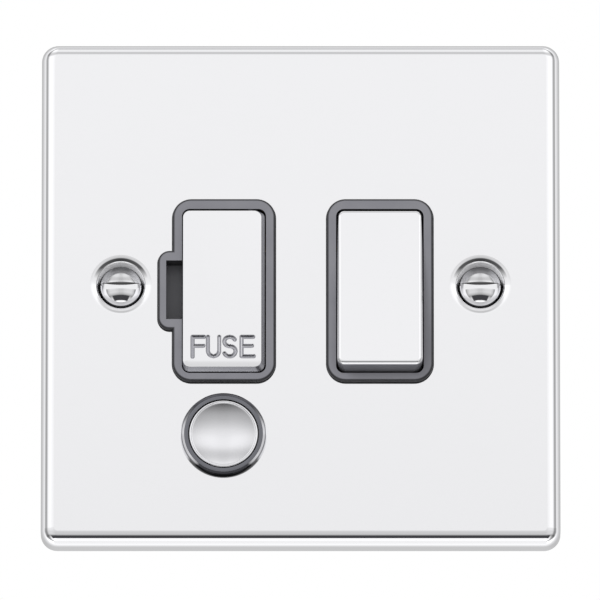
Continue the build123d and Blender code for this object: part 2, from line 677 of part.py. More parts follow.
def make_fuse_clip_lower():
    """Sprung contact for the lower end, in one with the strip to the load live terminal."""
    left = FUSE_AT_X - CLIP_W / 2
    clip = mirror(across(clip_profile(), left, left + CLIP_W), Plane.XY)
    limb_left = LOAD_LIVE_X - STRIP_W / 2
    limb_right = LOAD_LIVE_X + STRIP_W / 2
    strip = window(left, limb_right, -LINK_TOP, -LINK_BOTTOM)
    strip += window(limb_left, limb_right, -TERMINAL_INNER_Z, -LINK_BOTTOM)
    return clip + slab(strip, STRIP_FRONT, CHAMBER_FLOOR)


def terminal_spans():
    """Centre X and Z range of every terminal: load and supply below, load neutral and earths above."""
    inner = TERMINAL_INNER_Z
    outer = TERMINAL_INNER_Z + TERMINAL_L
    below = {"load_live": LOAD_LIVE_X, "supply_live": SUPPLY_LIVE_X, "supply_neutral": SUPPLY_NEUTRAL_X}
    above = {"load_neutral": LOAD_NEUTRAL_X, "supply_earth": EARTH_X, "load_earth": EARTH_2_X}
    spans = {name: (x, -outer, -inner) for name, x in below.items()}
    spans.update({name: (x, inner, outer) for name, x in above.items()})
    return spans


def make_terminal(x, bottom, top):
    """Brass pillar with a wire bore along Z and a tapped hole from the rear."""
    middle = (TERMINAL_FRONT + TERMINAL_BACK) / 2
    block = upright(Pos(x, middle) * Rectangle(TERMINAL_W, TERMINAL_D), bottom, top)
    block = chamfer(block.edges().filter_by(Axis.Z), TERMINAL_EDGE)
    block -= upright(Pos(x, TERMINAL_BORE_Y) * Circle(TERMINAL_BORE_R), bottom, top)
    tapped = Circle(TERMINAL_SCREW_R + TERMINAL_SCREW_CLEARANCE)
    return block - slab(Pos(x, (bottom + top) / 2) * tapped, TERMINAL_BORE_Y, TERMINAL_BACK)


def make_terminal_screws():
    """One slotted screw in each terminal, backed off clear of the wire bore."""
    tip = TERMINAL_BORE_Y + TERMINAL_BORE_R + TERMINAL_SCREW_TIP_GAP
    head = tip + TERMINAL_SCREW_LEN
    screws = []
    for x, bottom, top in terminal_spans().values():
        z = (bottom + top) / 2
        screw = slab(Pos(x, z) * Circle(TERMINAL_SCREW_R), tip, head)
        screw += slab(Pos(x, z) * Circle(TERMINAL_HEAD_R), head, head + TERMINAL_HEAD_H)
        slot = Pos(x, z) * Rectangle(2 * TERMINAL_HEAD_R, TERMINAL_SLOT_W)
        screws.append(screw - slab(slot, head + TERMINAL_HEAD_H - TERMINAL_SLOT_D, head + TERMINAL_HEAD_H))
    return screws


def earth_leg_x():
    return (EARTH_X + EARTH_2_X) / 2


def earth_leg_z():
    return TERMINAL_INNER_Z + TERMINAL_L - STRIP_T


def make_earth_strap():
    """Folded strip: a bar under both earth terminals, a leg forward and a foot on the plate."""
    bar_front = TERMINAL_FRONT - STRIP_T
    bar_half = TERMINAL_PITCH / 2 + TERMINAL_W / 2 - TERMINAL_EDGE
    leg = earth_leg_x()
    leg_top = earth_leg_z()
    bar = window(leg - bar_half, leg + bar_half, leg_top - STRIP_W, leg_top)
    strap = slab(bar, bar_front, TERMINAL_FRONT)
    side = shape(
        (bar_front, leg_top),
        (PLATE_INNER + STRIP_T, leg_top),
        (PLATE_INNER + STRIP_T, leg_top + EARTH_FOOT),
        (PLATE_INNER, leg_top + EARTH_FOOT),
        (PLATE_INNER, leg_top - STRIP_T),
        (bar_front, leg_top - STRIP_T),
    )
    return strap + across(side, leg - EARTH_LEG_W / 2, leg + EARTH_LEG_W / 2)


def base_outline():
    """Rear base seen from the front: full body with terminal banks, cut away round the flex."""
    body = RectangleRounded(BASE_RIGHT - BASE_LEFT, 2 * BASE_END, BASE_CORNER)
    flex_room = window(BASE_LEFT, BASE_BANK_LEFT, -BASE_END, GRIP_SADDLE_Z)
    return Pos((BASE_LEFT + BASE_RIGHT) / 2, 0) * body - flex_room


def make_rear_base():
    """Moulded base: two chambers open to the front, channels for the strips, pockets open behind."""
    base = slab(base_outline(), FLANGE_BACK, BASE_BACK)
    base = chamfer(base.faces().sort_by(Axis.Y)[-1].edges(), BASE_BACK_EDGE)
    fuse_seat = RectangleRounded(FUSE_COLLAR_W + 2 * SEAT_GAP, COLLAR_H + 2 * SEAT_GAP, COLLAR_CORNER)
    base -= slab(Pos(FUSE_X, 0) * fuse_seat, FLANGE_BACK, SKIRT_BACK)
    base -= slab(switch_collar_outline(SEAT_GAP), FLANGE_BACK, SKIRT_BACK)
    base -= slab(fuse_opening(), SKIRT_BACK, CHAMBER_FLOOR)
    base -= slab(switch_opening(), SKIRT_BACK, CHAMBER_FLOOR)
    base -= slab(strip_channels(), FLANGE_BACK, CHAMBER_FLOOR)
    pocket_half = TERMINAL_W / 2 + TERMINAL_GAP
    for x, bottom, top in terminal_spans().values():
        low = bottom if bottom > 0 else -BASE_END
        high = top if top < 0 else BASE_END
        base -= slab(window(x - pocket_half, x + pocket_half, low, high), TERMINAL_FRONT, BASE_BACK)
    earth_left = EARTH_X - pocket_half
    earth_right = EARTH_2_X + pocket_half
    bar_top = earth_leg_z() + TERMINAL_GAP
    bar_bottom = earth_leg_z() - STRIP_W - TERMINAL_GAP
    bar_room = window(earth_left, earth_right, bar_bottom, bar_top)
    base -= slab(bar_room, TERMINAL_FRONT - STRIP_T, BASE_BACK)
    leg_half = EARTH_LEG_W / 2 + TERMINAL_GAP
    leg_low = earth_leg_z() - STRIP_T - TERMINAL_GAP
    leg_room = window(earth_leg_x() - leg_half, earth_leg_x() + leg_half, leg_low, bar_top)
    base -= slab(leg_room, FLANGE_BACK, TERMINAL_FRONT)
    post_end = PLATE_INNER + POST_LEN
    for x, z in post_places():
        base -= slab(Pos(x, z) * Circle(POST_R + POST_GAP), FLANGE_BACK, post_end)
        base -= slab(Pos(x, z) * Circle(ASSEMBLY_SCREW_R + POST_GAP), post_end, BASE_BACK)
        base -= slab(Pos(x, z) * Circle(ASSEMBLY_HEAD_R + POST_GAP), ASSEMBLY_SEAT, BASE_BACK)
    for x in grip_screw_places():
        hole = Pos(x, GRIP_Y) * Circle(GRIP_SCREW_R)
        base -= upright(hole, GRIP_SADDLE_Z, GRIP_SADDLE_Z + GRIP_SCREW_BITE)
    base -= slab(back_cores(), BASE_BACK - BASE_CORE_D, BASE_BACK)
    return base + slab(barriers(), TERMINAL_BACK, BASE_BACK + BARRIER_H)


def back_cores():
    """Shallow coring behind the floors of the two chambers, in rows with ribs between them."""
    pitch = OPENING_H / BASE_CORE_ROWS
    fuse_core = RectangleRounded(FUSE_OPENING_W - BASE_CORE_RIB, pitch - BASE_CORE_RIB, BASE_CORE_CORNER)
    switch_core = RectangleRounded(SWITCH_OPENING_W - BASE_CORE_RIB, pitch - BASE_CORE_RIB, BASE_CORE_CORNER)
    cores = []
    for row in GridLocations(0, pitch, 1, BASE_CORE_ROWS):
        cores += [row * Pos(FUSE_X, 0) * fuse_core, row * Pos(SWITCH_X, 0) * switch_core]
    return Sketch() + cores


def barriers():
    """Insulating fins behind the base, between neighbouring terminals."""
    half = TERMINAL_PITCH / 2 - TERMINAL_W / 2 - TERMINAL_GAP
    outer = BASE_END - BASE_BACK_EDGE
    below = [LOAD_LIVE_X + TERMINAL_PITCH / 2, SUPPLY_LIVE_X + TERMINAL_PITCH / 2]
    fins = [window(x - half, x + half, -outer, -TERMINAL_INNER_Z) for x in below]
    fins.append(window(earth_leg_x() - half, earth_leg_x() + half, TERMINAL_INNER_Z, outer))
    return Sketch() + fins


def strip_channels():
    """Grooves, open to the front, in which the strips pass through the chamber walls."""
    half = STRIP_W / 2 + CHANNEL_GAP
    low = LINK_BOTTOM - CHANNEL_GAP
    high = LINK_TOP + CHANNEL_GAP
    live = window(FUSE_RIGHT - OPENING_CORNER, SWITCH_LEFT + OPENING_CORNER, low, high)
    load = window(FUSE_RIGHT - OPENING_CORNER, LOAD_LIVE_X + half, -high, -low)
    load += window(LOAD_LIVE_X - half, LOAD_LIVE_X + half, -TERMINAL_INNER_Z, -low)
    start = OPENING_H / 2 - OPENING_CORNER
    neutral = window(NEUTRAL_X - half, NEUTRAL_X + half, start, TERMINAL_INNER_Z)
    supply = window(LIVE_X - half, LIVE_X + half, -TERMINAL_INNER_Z, -start)
    supply += window(NEUTRAL_X - half, NEUTRAL_X + half, -TERMINAL_INNER_Z, -start)
    return live + load + neutral + supply


def make_assembly_screws():
    """Two screws from the rear that clamp the base and the insert to the plate's posts."""
    tip = PLATE_INNER + POST_LEN - ASSEMBLY_SCREW_IN_POST
    screws = []
    for x, z in post_places():
        screw = slab(Pos(x, z) * Circle(ASSEMBLY_SCREW_R), tip, ASSEMBLY_SEAT)
        head_end = ASSEMBLY_SEAT + ASSEMBLY_HEAD_H
        head = slab(Pos(x, z) * Circle(ASSEMBLY_HEAD_R), ASSEMBLY_SEAT, head_end)
        slot = Pos(x, z) * Rectangle(2 * ASSEMBLY_HEAD_R, TERMINAL_SLOT_W)
        screws.append(screw + head - slab(slot, head_end - TERMINAL_SLOT_D, head_end))
    return screws


def make_fixing_screws():
    """Two slotted raised countersunk screws, necked through the plate, that hold the unit to its box."""
    rim = PLATE_FRONT + DIMPLE_DEPTH
    neck = rim + FIXING_HEAD_R - FIXING_NECK_R
    dome_r = (FIXING_HEAD_R**2 + FIXING_DOME**2) / (2 * FIXING_DOME)
    with BuildSketch() as profile:
        with BuildLine():
            dome = RadiusArc((0, rim - FIXING_DOME), (FIXING_HEAD_R, rim), -dome_r)
            body = Polyline(
                dome @ 1,
                (FIXING_NECK_R, neck),
                (FIXING_NECK_R, 0),
                (FIXING_SHANK_R, 0),
                (FIXING_SHANK_R, FIXING_REACH),
                (0, FIXING_REACH),
                dome @ 0,
            )
        make_face()
    slot = slab(
        Rectangle(2 * FIXING_HEAD_R, FIXING_SLOT_W),
        rim - FIXING_DOME,
        rim - FIXING_DOME + FIXING_SLOT_D,
    )
    screw = turned(profile.sketch) - slot
    return [Pos(x, 0, z) * screw for x, z in fixing_places()]


def make_flex_outlet_bush():
    """Snap-in bush: a round flange on the plate, a split barrel through it and barbs behind it."""
    face = PLATE_FRONT - BUSH_FLANGE_T
    flange = slab(Circle(BUSH_FLANGE_R), face, PLATE_FRONT)
    flange = fillet(flange.faces().sort_by(Axis.Y)[0].edges(), BUSH_FLANGE_EDGE)
    end = FLANGE_BACK - SEAT_GAP
    bush = flange + slab(Circle(BUSH_BARREL_R), PLATE_FRONT, end)
    barb_front = PLATE_INNER + PIN_CLEARANCE
    barb = shape(
        (BUSH_BORE_R, barb_front),
        (BUSH_BARREL_R + BUSH_BARB_OUT, barb_front),
        (BUSH_BARREL_R, barb_front + BUSH_BARB_T),
        (BUSH_BORE_R, barb_front + BUSH_BARB_T),
    )
    bush += turned(barb)
    bush -= slab(Circle(DISC_R + DISC_RECESS_GAP), face, face + DISC_RECESS_D)
    bush -= slab(Circle(BUSH_BORE_R), face, end)
    slot_mid = (BUSH_BORE_R + BUSH_BARREL_R) / 2
    slot = slab(Pos(slot_mid, 0) * Rectangle(BUSH_BARREL_R - BUSH_BORE_R + 2, BUSH_SLOT_W), barb_front, end)
    for turn in range(BUSH_SLOTS):
        bush -= Rot(Y=360 / BUSH_SLOTS * (turn + 0.5)) * slot
    return Pos(FLEX_X, 0, FLEX_Z) * bush


def disc_back():
    return PLATE_FRONT - BUSH_FLANGE_T + DISC_RECESS_D - PIN_END_CLEARANCE


def make_blanking_plug():
    """Hollow push-fit plug that closes the bush."""
    back = disc_back() + PLUG_LEN
    plug = slab(Circle(BUSH_BORE_R - PLUG_CLEARANCE), disc_back(), back)
    plug -= slab(Circle(BUSH_BORE_R - PLUG_CLEARANCE - PLUG_WALL), disc_back() + PLUG_WALL, back)
    slit = slab(Pos(BUSH_BORE_R / 2, 0) * Rectangle(BUSH_BORE_R, PLUG_SLIT_W), back - PLUG_SLIT_D, back)
    for turn in range(PLUG_SLITS):
        plug -= Rot(Y=360 / PLUG_SLITS * turn) * slit
    return Pos(FLEX_X, 0, FLEX_Z) * plug


def make_plug_disc():
    """Dished chrome disc on the front of the plug, with a rounded rim."""
    middle = disc_back() - DISC_T
    rim = middle - DISC_DISH
    dish_r = (DISC_R**2 + DISC_DISH**2) / (2 * DISC_DISH)
    with BuildSketch() as profile:
        with BuildLine():
            dish = RadiusArc((0, middle), (DISC_R, rim), dish_r)
            Polyline(dish @ 1, (DISC_R, disc_back()), (0, disc_back()), dish @ 0)
        make_face()
    disc = turned(profile.sketch)
    disc = fillet(disc.edges().filter_by_position(Axis.Y, rim - 0.01, rim + 0.01), DISC_EDGE)
    return Pos(FLEX_X, 0, FLEX_Z) * disc


def grip_screw_places():
    return (FLEX_X - GRIP_SCREW_OFFSET, FLEX_X + GRIP_SCREW_OFFSET)


def make_cord_grip_bar():
    """Clamp bar below the flex, with two ribs that bite into it."""
    bar_bottom = GRIP_BAR_TOP - GRIP_T
    plan = Pos(FLEX_X, GRIP_Y) * RectangleRounded(GRIP_W, GRIP_DEPTH, BASE_CORNER)
    bar = upright(plan, bar_bottom, GRIP_BAR_TOP)
    rib = Rectangle(2 * (GRIP_SCREW_OFFSET - GRIP_SCREW_R - BASE_CORNER), 2 * GRIP_RIB_H)
    for y in (GRIP_Y - GRIP_DEPTH / 4, GRIP_Y + GRIP_DEPTH / 4):
        bar += upright(Pos(FLEX_X, y) * rib, GRIP_BAR_TOP, GRIP_BAR_TOP + GRIP_RIB_H)
    for x in grip_screw_places():
        bar -= upright(Pos(x, GRIP_Y) * Circle(GRIP_SCREW_R + POST_GAP), bar_bottom, GRIP_BAR_TOP)
    return bar


def make_cord_grip_screws():
    """Two screws that draw the clamp bar up towards the base."""
    seat = GRIP_BAR_TOP - GRIP_T
    screws = []
    for x in grip_screw_places():
        shank = Pos(x, GRIP_Y) * Circle(GRIP_SCREW_R)
        screw = upright(shank, seat, GRIP_SADDLE_Z + GRIP_SCREW_BITE)
        head = upright(Pos(x, GRIP_Y) * Circle(GRIP_HEAD_R), seat - GRIP_HEAD_H, seat)
        slot = Pos(x, GRIP_Y) * Rectangle(2 * GRIP_HEAD_R, TERMINAL_SLOT_W)
        slot_bottom = seat - GRIP_HEAD_H
        screws.append(screw + head - upright(slot, slot_bottom, slot_bottom + TERMINAL_SLOT_D))
    return screws


def write(name, piece):
    """One STEP file for each piece, set below the fixing line; a list becomes a group of solids."""
    below = Pos(0, 0, -FIXING_RISE)
    if isinstance(piece, list):
        placed = Compound(children=[below * solid for solid in piece])
    else:
        placed = below * piece
    export_step(placed, f"parts/{name}.step")


os.makedirs("parts", exist_ok=True)
write("front_plate", make_front_plate())
write("plate_posts", make_plate_posts())
write("front_insert", make_front_insert())
write("rear_base", make_rear_base())
write("fuse_carrier", make_fuse_carrier())
write("fuse_carrier_cap", make_fuse_carrier_cap())
write("fuse_barrel", make_fuse_barrel())
write("fuse_end_caps", make_fuse_end_caps())
write("fuse_clip_upper", make_fuse_clip_upper())
write("fuse_clip_lower", make_fuse_clip_lower())
write("switch_rocker", make_switch_rocker())
write("rocker_cap", make_rocker_cap())
for pole, place in zip(("live", "neutral"), rocker_poles()):
    write(f"{pole}_plunger", make_plunger(place))
    write(f"{pole}_plunger_spring", make_plunger_spring(place))
    write(f"{pole}_bridge", make_bridge(SWITCH_X + place))
    write(f"{pole}_fulcrum", make_fulcrum(SWITCH_X + place))
write("live_fixed_contact", make_live_fixed_contact())
write("neutral_fixed_contact", make_neutral_fixed_contact())
for terminal, (x, bottom, top) in terminal_spans().items():
    write(f"{terminal}_terminal", make_terminal(x, bottom, top))
write("terminal_screws", make_terminal_screws())
write("earth_strap", make_earth_strap())
write("assembly_screws", make_assembly_screws())
write("fixing_screws", make_fixing_screws())
write("flex_outlet_bush", make_flex_outlet_bush())
write("blanking_plug", make_blanking_plug())
write("plug_disc", make_plug_disc())
write("cord_grip_bar", make_cord_grip_bar())
write("cord_grip_screws", make_cord_grip_screws())
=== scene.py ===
# Fused spur unit: a chrome wall plate with a hinged fuse carrier, a rocker switch and a capped flex outlet.
# The sections follow the order in which the unit is put together, from the plate to its fixing screws.
import math

import bmesh
import bpy
import numpy as np
from mathutils import Matrix, Vector


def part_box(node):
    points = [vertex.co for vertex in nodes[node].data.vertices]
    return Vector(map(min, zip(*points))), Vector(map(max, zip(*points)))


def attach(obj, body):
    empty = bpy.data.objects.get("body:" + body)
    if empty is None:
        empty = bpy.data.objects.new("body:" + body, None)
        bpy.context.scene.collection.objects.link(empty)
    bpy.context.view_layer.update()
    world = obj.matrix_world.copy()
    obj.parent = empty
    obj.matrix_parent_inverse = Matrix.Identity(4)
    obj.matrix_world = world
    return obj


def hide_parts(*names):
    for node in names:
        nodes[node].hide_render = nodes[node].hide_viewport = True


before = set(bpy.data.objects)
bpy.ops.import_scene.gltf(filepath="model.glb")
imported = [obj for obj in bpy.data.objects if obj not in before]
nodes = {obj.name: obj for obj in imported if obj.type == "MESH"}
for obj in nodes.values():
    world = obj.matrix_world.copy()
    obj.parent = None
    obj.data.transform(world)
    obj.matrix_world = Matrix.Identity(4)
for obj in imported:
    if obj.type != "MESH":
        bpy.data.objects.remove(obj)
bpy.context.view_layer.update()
MM = 0.001


# The front plate: brass sheet pressed with rolled edges and two screw dimples, then polished and
# chrome plated all over. It carries everything else on its back.
def linear(code):
    """sRGB hex colour as linear red, green, blue and alpha."""
    parts = [int(code[i:i + 2], 16) / 255 for i in (1, 3, 5)]
    return [p / 12.92 if p <= 0.04045 else ((p + 0.055) / 1.055) ** 2.4 for p in parts] + [1.0]


def join(node, inputs):
    """Gives a node's inputs their values, hex colours or links; a node stands for its first output in use."""
    for key, value in inputs.items():
        if isinstance(value, bpy.types.Node):
            value = next(output for output in value.outputs if output.enabled)
        if isinstance(value, bpy.types.NodeSocket):
            node.id_data.links.new(value, node.inputs[key])
        else:
            node.inputs[key].default_value = linear(value) if isinstance(value, str) else value


def add_node(tree, kind, inputs=None, stops=None, **settings):
    """One node with its settings, its inputs and the stops of its ramp where it has one."""
    node = tree.nodes.new(kind)
    for name, value in settings.items():
        setattr(node, name, value)
    join(node, inputs or {})
    if stops:
        while len(node.color_ramp.elements) < len(stops):
            node.color_ramp.elements.new(1.0)
        for element, (place, tone) in zip(node.color_ramp.elements, stops):
            element.position = place
            element.color = linear(tone) if isinstance(tone, str) else (tone, tone, tone, 1.0)
    return node


def start_finish(name, values):
    """A material with one surface shader whose plain values are set on its own sockets."""
    finish = bpy.data.materials.new(name)
    finish.use_nodes = True
    shader = finish.node_tree.nodes["Principled BSDF"]
    join(shader, values)
    place = add_node(finish.node_tree, "ShaderNodeTexCoord").outputs["Object"]
    return finish, finish.node_tree, shader, place


def dress(finish, *names):
    """Gives CAD nodes their finish."""
    for name in names:
        nodes[name].data.materials.clear()
        nodes[name].data.materials.append(finish)


def mask(tree, *spans):
    """Share of the surface where each measure has gone from one value to another, in millimetres."""
    share = 1.0
    for measure, begin, end in spans:
        part = add_node(tree, "ShaderNodeMapRange", {
            "Value": measure, "From Min": begin * MM, "From Max": end * MM})
        share = add_node(tree, "ShaderNodeMath", {0: share, 1: part}, operation="MULTIPLY")
    return share


# Polished chrome plating: a mirror with a cold cast, dulled unevenly by handling. The smears are 9 mm
# across and the buffing lines 0.4 mm, coarser than real ones so that they show.
chrome, tree, shader, place = start_finish("polished chrome plating", {})
smears = add_node(tree, "ShaderNodeTexNoise", {"Vector": place, "Scale": 1 / (9 * MM), "Detail": 3.0})
buffed = add_node(tree, "ShaderNodeMapping", {"Vector": place, "Scale": (0.08, 1.0, 1.0)})
buffing = add_node(tree, "ShaderNodeTexNoise", {"Vector": buffed, "Scale": 1 / (0.4 * MM)})
dulling = add_node(tree, "ShaderNodeMath", {0: smears, 1: buffing}, operation="MULTIPLY")
gloss = add_node(tree, "ShaderNodeMapRange", {
    "Value": dulling, "From Min": 0.15, "From Max": 0.4, "To Min": 0.03, "To Max": 0.06})

# Painted shade in the chrome's colour round each screw head: most of it below, in the crevice, under the
# upper edge of its slot, over its upper part and under the dimple's upper lip. The wall below that lip is
# matt and white, a painted bright band in place of a reflection.
SCREW_X = 30.15 * MM
SLOT_EDGE_Z = 0.55 * MM
CREVICE_LIFT = 0.2 * MM
x, y, z = add_node(tree, "ShaderNodeSeparateXYZ", {0: place}).outputs
aside = add_node(tree, "ShaderNodeMath", {0: x}, operation="ABSOLUTE")
beside = add_node(tree, "ShaderNodeMath", {0: aside, 1: SCREW_X}, operation="SUBTRACT")
distances = []
for lift in (0.0, CREVICE_LIFT):
    above = add_node(tree, "ShaderNodeMath", {0: z, 1: lift}, operation="SUBTRACT")
    across = add_node(tree, "ShaderNodeCombineXYZ", {0: beside, 2: above})
    distances.append(add_node(tree, "ShaderNodeVectorMath", {0: across}, operation="LENGTH"))
from_axis, from_lifted_axis = distances
from_middle = add_node(tree, "ShaderNodeMath", {0: beside}, operation="ABSOLUTE")
from_slot = add_node(tree, "ShaderNodeMath", {0: z, 1: SLOT_EDGE_Z}, operation="SUBTRACT")
from_slot = add_node(tree, "ShaderNodeMath", {0: from_slot}, operation="ABSOLUTE")
on_head = (from_axis, 3.62, 3.58)
crevice = mask(tree, (from_lifted_axis, 3.36, 3.46), (from_axis, 3.66, 3.6), (y, -3.75, -3.5))
slot_edge = mask(tree, (from_slot, 0.07, 0.04), on_head)
dome_shade = mask(tree, (z, 0.7, 3.0), (from_middle, 2.6, 1.2), on_head)
lip = mask(tree, (from_axis, 4.1, 4.22), (from_axis, 4.76, 4.62), (z, 1.2, 3.0))
painted_shade = 0.0
for share, strength in ((crevice, 1.0), (slot_edge, 1.0), (dome_shade, 0.6), (lip, 0.9)):
    layer = add_node(tree, "ShaderNodeMath", {0: share, 1: strength}, operation="MULTIPLY")
    painted_shade = add_node(tree, "ShaderNodeMath", {0: painted_shade, 1: layer}, operation="MAXIMUM")
# Painted shade: the plating's colour darkens towards #343436 over these masks.
plating = add_node(tree, "ShaderNodeValToRGB", {"Fac": painted_shade}, stops=[(0.0, "#f3f3f5"), (1.0, "#343436")])
# Painted bright band: the dimple's upper wall loses its metal and shows as matt white.
painted_bright_wall = mask(tree, (from_axis, 4.1, 4.04), (from_axis, 3.62, 3.66), (z, 0.4, 1.6))
mirror_share = add_node(tree, "ShaderNodeMath", {0: 1.0, 1: painted_bright_wall}, operation="SUBTRACT")
join(shader, {"Base Color": plating, "Metallic": mirror_share, "Roughness": gloss})
dress(chrome, "front_plate")


# The posts and the earth strap: turned brass posts and a strip of brass, both welded to the plate's
# back. The posts take the assembly screws, and the strap earths the plate.
# Brass: warm yellow metal with fine drawing lines 0.3 mm apart and darker tarnish in patches.
def mottled(shader, place, across, detail, tones):
    """Patches of tone on a surface, so far across; gives the pattern that they follow."""
    tree = shader.id_data
    pattern = add_node(tree, "ShaderNodeTexNoise", {"Vector": place, "Scale": 1 / across, "Detail": detail})
    join(shader, {"Base Color": add_node(tree, "ShaderNodeValToRGB", {"Fac": pattern}, stops=tones)})
    return pattern


def uneven(shader, pattern, smooth, rough, relief=0.0, depth=0.0):
    """Gloss that follows a pattern, and its relief where the surface has one."""
    tree = shader.id_data
    gloss = add_node(tree, "ShaderNodeMapRange", {"Value": pattern, "To Min": smooth, "To Max": rough})
    join(shader, {"Roughness": gloss})
    if relief:
        bump = add_node(tree, "ShaderNodeBump", {"Height": pattern, "Strength": relief, "Distance": depth})
        join(shader, {"Normal": bump})


brass, tree, shader, place = start_finish("drawn brass", {"Metallic": 1.0})
mottled(shader, place, 3 * MM, 5.0, [(0.3, "#b08a48"), (0.7, "#d8b870")])
drawn = add_node(tree, "ShaderNodeMapping", {"Vector": place, "Scale": (1.0, 1.0, 0.1)})
drawing = add_node(tree, "ShaderNodeTexNoise", {"Vector": drawn, "Scale": 1 / (0.3 * MM), "Detail": 2.0})
uneven(shader, drawing, 0.22, 0.42, relief=0.15, depth=0.02 * MM)
dress(brass, "plate_posts", "earth_strap")


# The front insert: one grey ABS moulding behind the plate, whose two collars stand through its windows.
# It is clamped between the plate and the base.
RECESS_FULL, RECESS_START = -3.2 * MM, -5.2 * MM


def moulded_abs(name, low, high, smooth, rough, walls=0.14):
    """Moulded ABS: a 0.15 mm grain on its front faces, and painted shade that darkens its walls and its deep
    faces.
    """
    finish, tree, shader, place = start_finish(name, {"IOR": 1.53})
    flow = add_node(tree, "ShaderNodeTexNoise", {"Vector": place, "Scale": 1 / (6 * MM), "Detail": 3.0})
    tone = add_node(tree, "ShaderNodeValToRGB", {"Fac": flow}, stops=[(0.3, low), (0.7, high)])
    # Painted shade on the walls: the colour darkens as a face turns away from the front.
    lie = add_node(tree, "ShaderNodeSeparateXYZ", {0: tree.nodes["Texture Coordinate"].outputs["Normal"]})
    level = add_node(tree, "ShaderNodeMath", {0: lie.outputs[1]}, operation="ABSOLUTE")
    wall = add_node(tree, "ShaderNodeValToRGB", {"Fac": level},
                    stops=[(0.0, walls), (0.6, walls + 0.16), (0.93, 1.0)])
    # Painted shade in the recesses: the colour darkens with depth behind the plate's face.
    depth = add_node(tree, "ShaderNodeSeparateXYZ", {0: place}).outputs[1]
    recess_shade = add_node(tree, "ShaderNodeMapRange", {
        "Value": depth, "From Min": RECESS_START, "From Max": RECESS_FULL, "To Min": 1.0, "To Max": 0.62})
    for darker in (wall, recess_shade):
        tone = add_node(tree, "ShaderNodeMix", {0: 1.0, 6: tone, 7: darker},
                        data_type="RGBA", blend_type="MULTIPLY")
    join(shader, {"Base Color": tone})
    grain = add_node(tree, "ShaderNodeTexNoise", {"Vector": place, "Scale": 1 / (0.15 * MM), "Detail": 2.0})
    uneven(shader, grain, smooth, rough, relief=0.25, depth=0.02 * MM)
    return finish


GREY_ABS = ("#828289", "#8a8a90", 0.34, 0.5)
grey = moulded_abs("grey moulded ABS", *GREY_ABS)

# The collars' outer edge carries a painted shadow line, where the gap round them falls in shade, along the
# outlines of the two collars and of the finger notch, which are rectangles with round corners: the middle,
# the width, the height and the corner of each.
COLLAR_MID_Z = -1.15 * MM
COLLAR_SHAPES = ((13.3, 17.9, 31.7, 3.2), (-12.85, 17.3, 31.7, 3.2), (-18.4, 11.1, 13.7, 2.0))
ZERO = (0.0, 0.0, 0.0)
collar_grey = moulded_abs("grey collar ABS", *GREY_ABS)
tree = collar_grey.node_tree
shader = tree.nodes["Principled BSDF"]
outside = 1.0
for middle, wide, tall, corner in COLLAR_SHAPES:
    core = ((wide / 2 - corner) * MM, 1.0, (tall / 2 - corner) * MM)
    apart = tree.nodes["Texture Coordinate"].outputs["Object"]
    for how, by in (("SUBTRACT", (middle * MM, 0.0, COLLAR_MID_Z)), ("ABSOLUTE", ZERO), ("SUBTRACT", core),
                    ("MAXIMUM", ZERO)):
        apart = add_node(tree, "ShaderNodeVectorMath", {0: apart, 1: by}, operation=how)
    reach = add_node(tree, "ShaderNodeVectorMath", {0: apart}, operation="LENGTH")
    past = add_node(tree, "ShaderNodeMath", {0: reach, 1: corner * MM}, operation="SUBTRACT")
    outside = add_node(tree, "ShaderNodeMath", {0: outside, 1: past}, operation="MINIMUM")
# Painted shadow: a dark band just inside each outline.
gap_shadow = mask(tree, (outside, -0.44, -0.26))
body = shader.inputs["Base Color"].links[0].from_socket
gap_shaded = add_node(tree, "ShaderNodeMix", {0: gap_shadow, 6: body, 7: "#2a2a2e"}, data_type="RGBA")
join(shader, {"Base Color": gap_shaded})
dress(collar_grey, "front_insert")


# The rear base: a thick thermoset moulding with the fuse and switch chambers in its front and the
# terminal pockets in its ends. Two screws from behind clamp it and the insert to the plate's posts.
# Urea moulding: hard, off-white, slightly glossy, with faint cloudy flow marks 8 mm across.
urea, tree, shader, place = start_finish("white urea moulding", {"IOR": 1.55})
mottled(shader, place, 8 * MM, 4.0, [(0.3, "#d9d8d3"), (0.7, "#e2e1dc")])
skin = add_node(tree, "ShaderNodeTexNoise", {"Vector": place, "Scale": 1 / (0.5 * MM), "Detail": 3.0})
uneven(shader, skin, 0.3, 0.45, relief=0.2, depth=0.03 * MM)
dress(urea, "rear_base", "cord_grip_bar")


# The terminals and their screws: drilled brass blocks in the base's end pockets, each with a
# zinc-plated screw from behind that clamps the wire.
# Zinc plating: pale grey metal with a blotchy, slightly blue and yellow passivated skin.
TERMINALS = ("load_live", "supply_live", "supply_neutral", "load_neutral", "supply_earth", "load_earth")
zinc, tree, shader, place = start_finish("zinc plated steel", {"Metallic": 1.0})
blotches = mottled(shader, place, 1.5 * MM, 4.0, [(0.3, "#b9bcc0"), (0.55, "#c9cac8"), (0.75, "#cdcabb")])
uneven(shader, blotches, 0.25, 0.45)
dress(brass, *[name + "_terminal" for name in TERMINALS])
dress(zinc, "terminal_screws")


# The marks on the base: a letter moulded beside each terminal, raised from the back, that says which wire
# goes there. They are part of the base's moulding.
MARK_SIZE = 3.2 * MM
MARK_RISE = 0.2 * MM
MARK_OFF = 2.1 * MM
BARRIER_H = 2.0 * MM
MERGE = 0.001 * MM


def evaluated_mesh(piece):
    """Plain mesh of an object with its modifiers applied; the object itself is taken away."""
    mesh = bpy.data.meshes.new_from_object(piece.evaluated_get(bpy.context.evaluated_depsgraph_get()))
    bpy.data.objects.remove(piece)
    return mesh


def as_piece(name, bm, finish, sharp=25):
    """Object from a mesh under construction, smooth but for its real edges, with its faces outwards."""
    bmesh.ops.recalc_face_normals(bm, faces=bm.faces)
    mesh = bpy.data.meshes.new(name)
    bm.to_mesh(mesh)
    bm.free()
    mesh.shade_smooth()
    mesh.set_sharp_from_angle(angle=math.radians(sharp))
    mesh.materials.append(finish)
    piece = bpy.data.objects.new(name, mesh)
    bpy.context.scene.collection.objects.link(piece)
    return piece


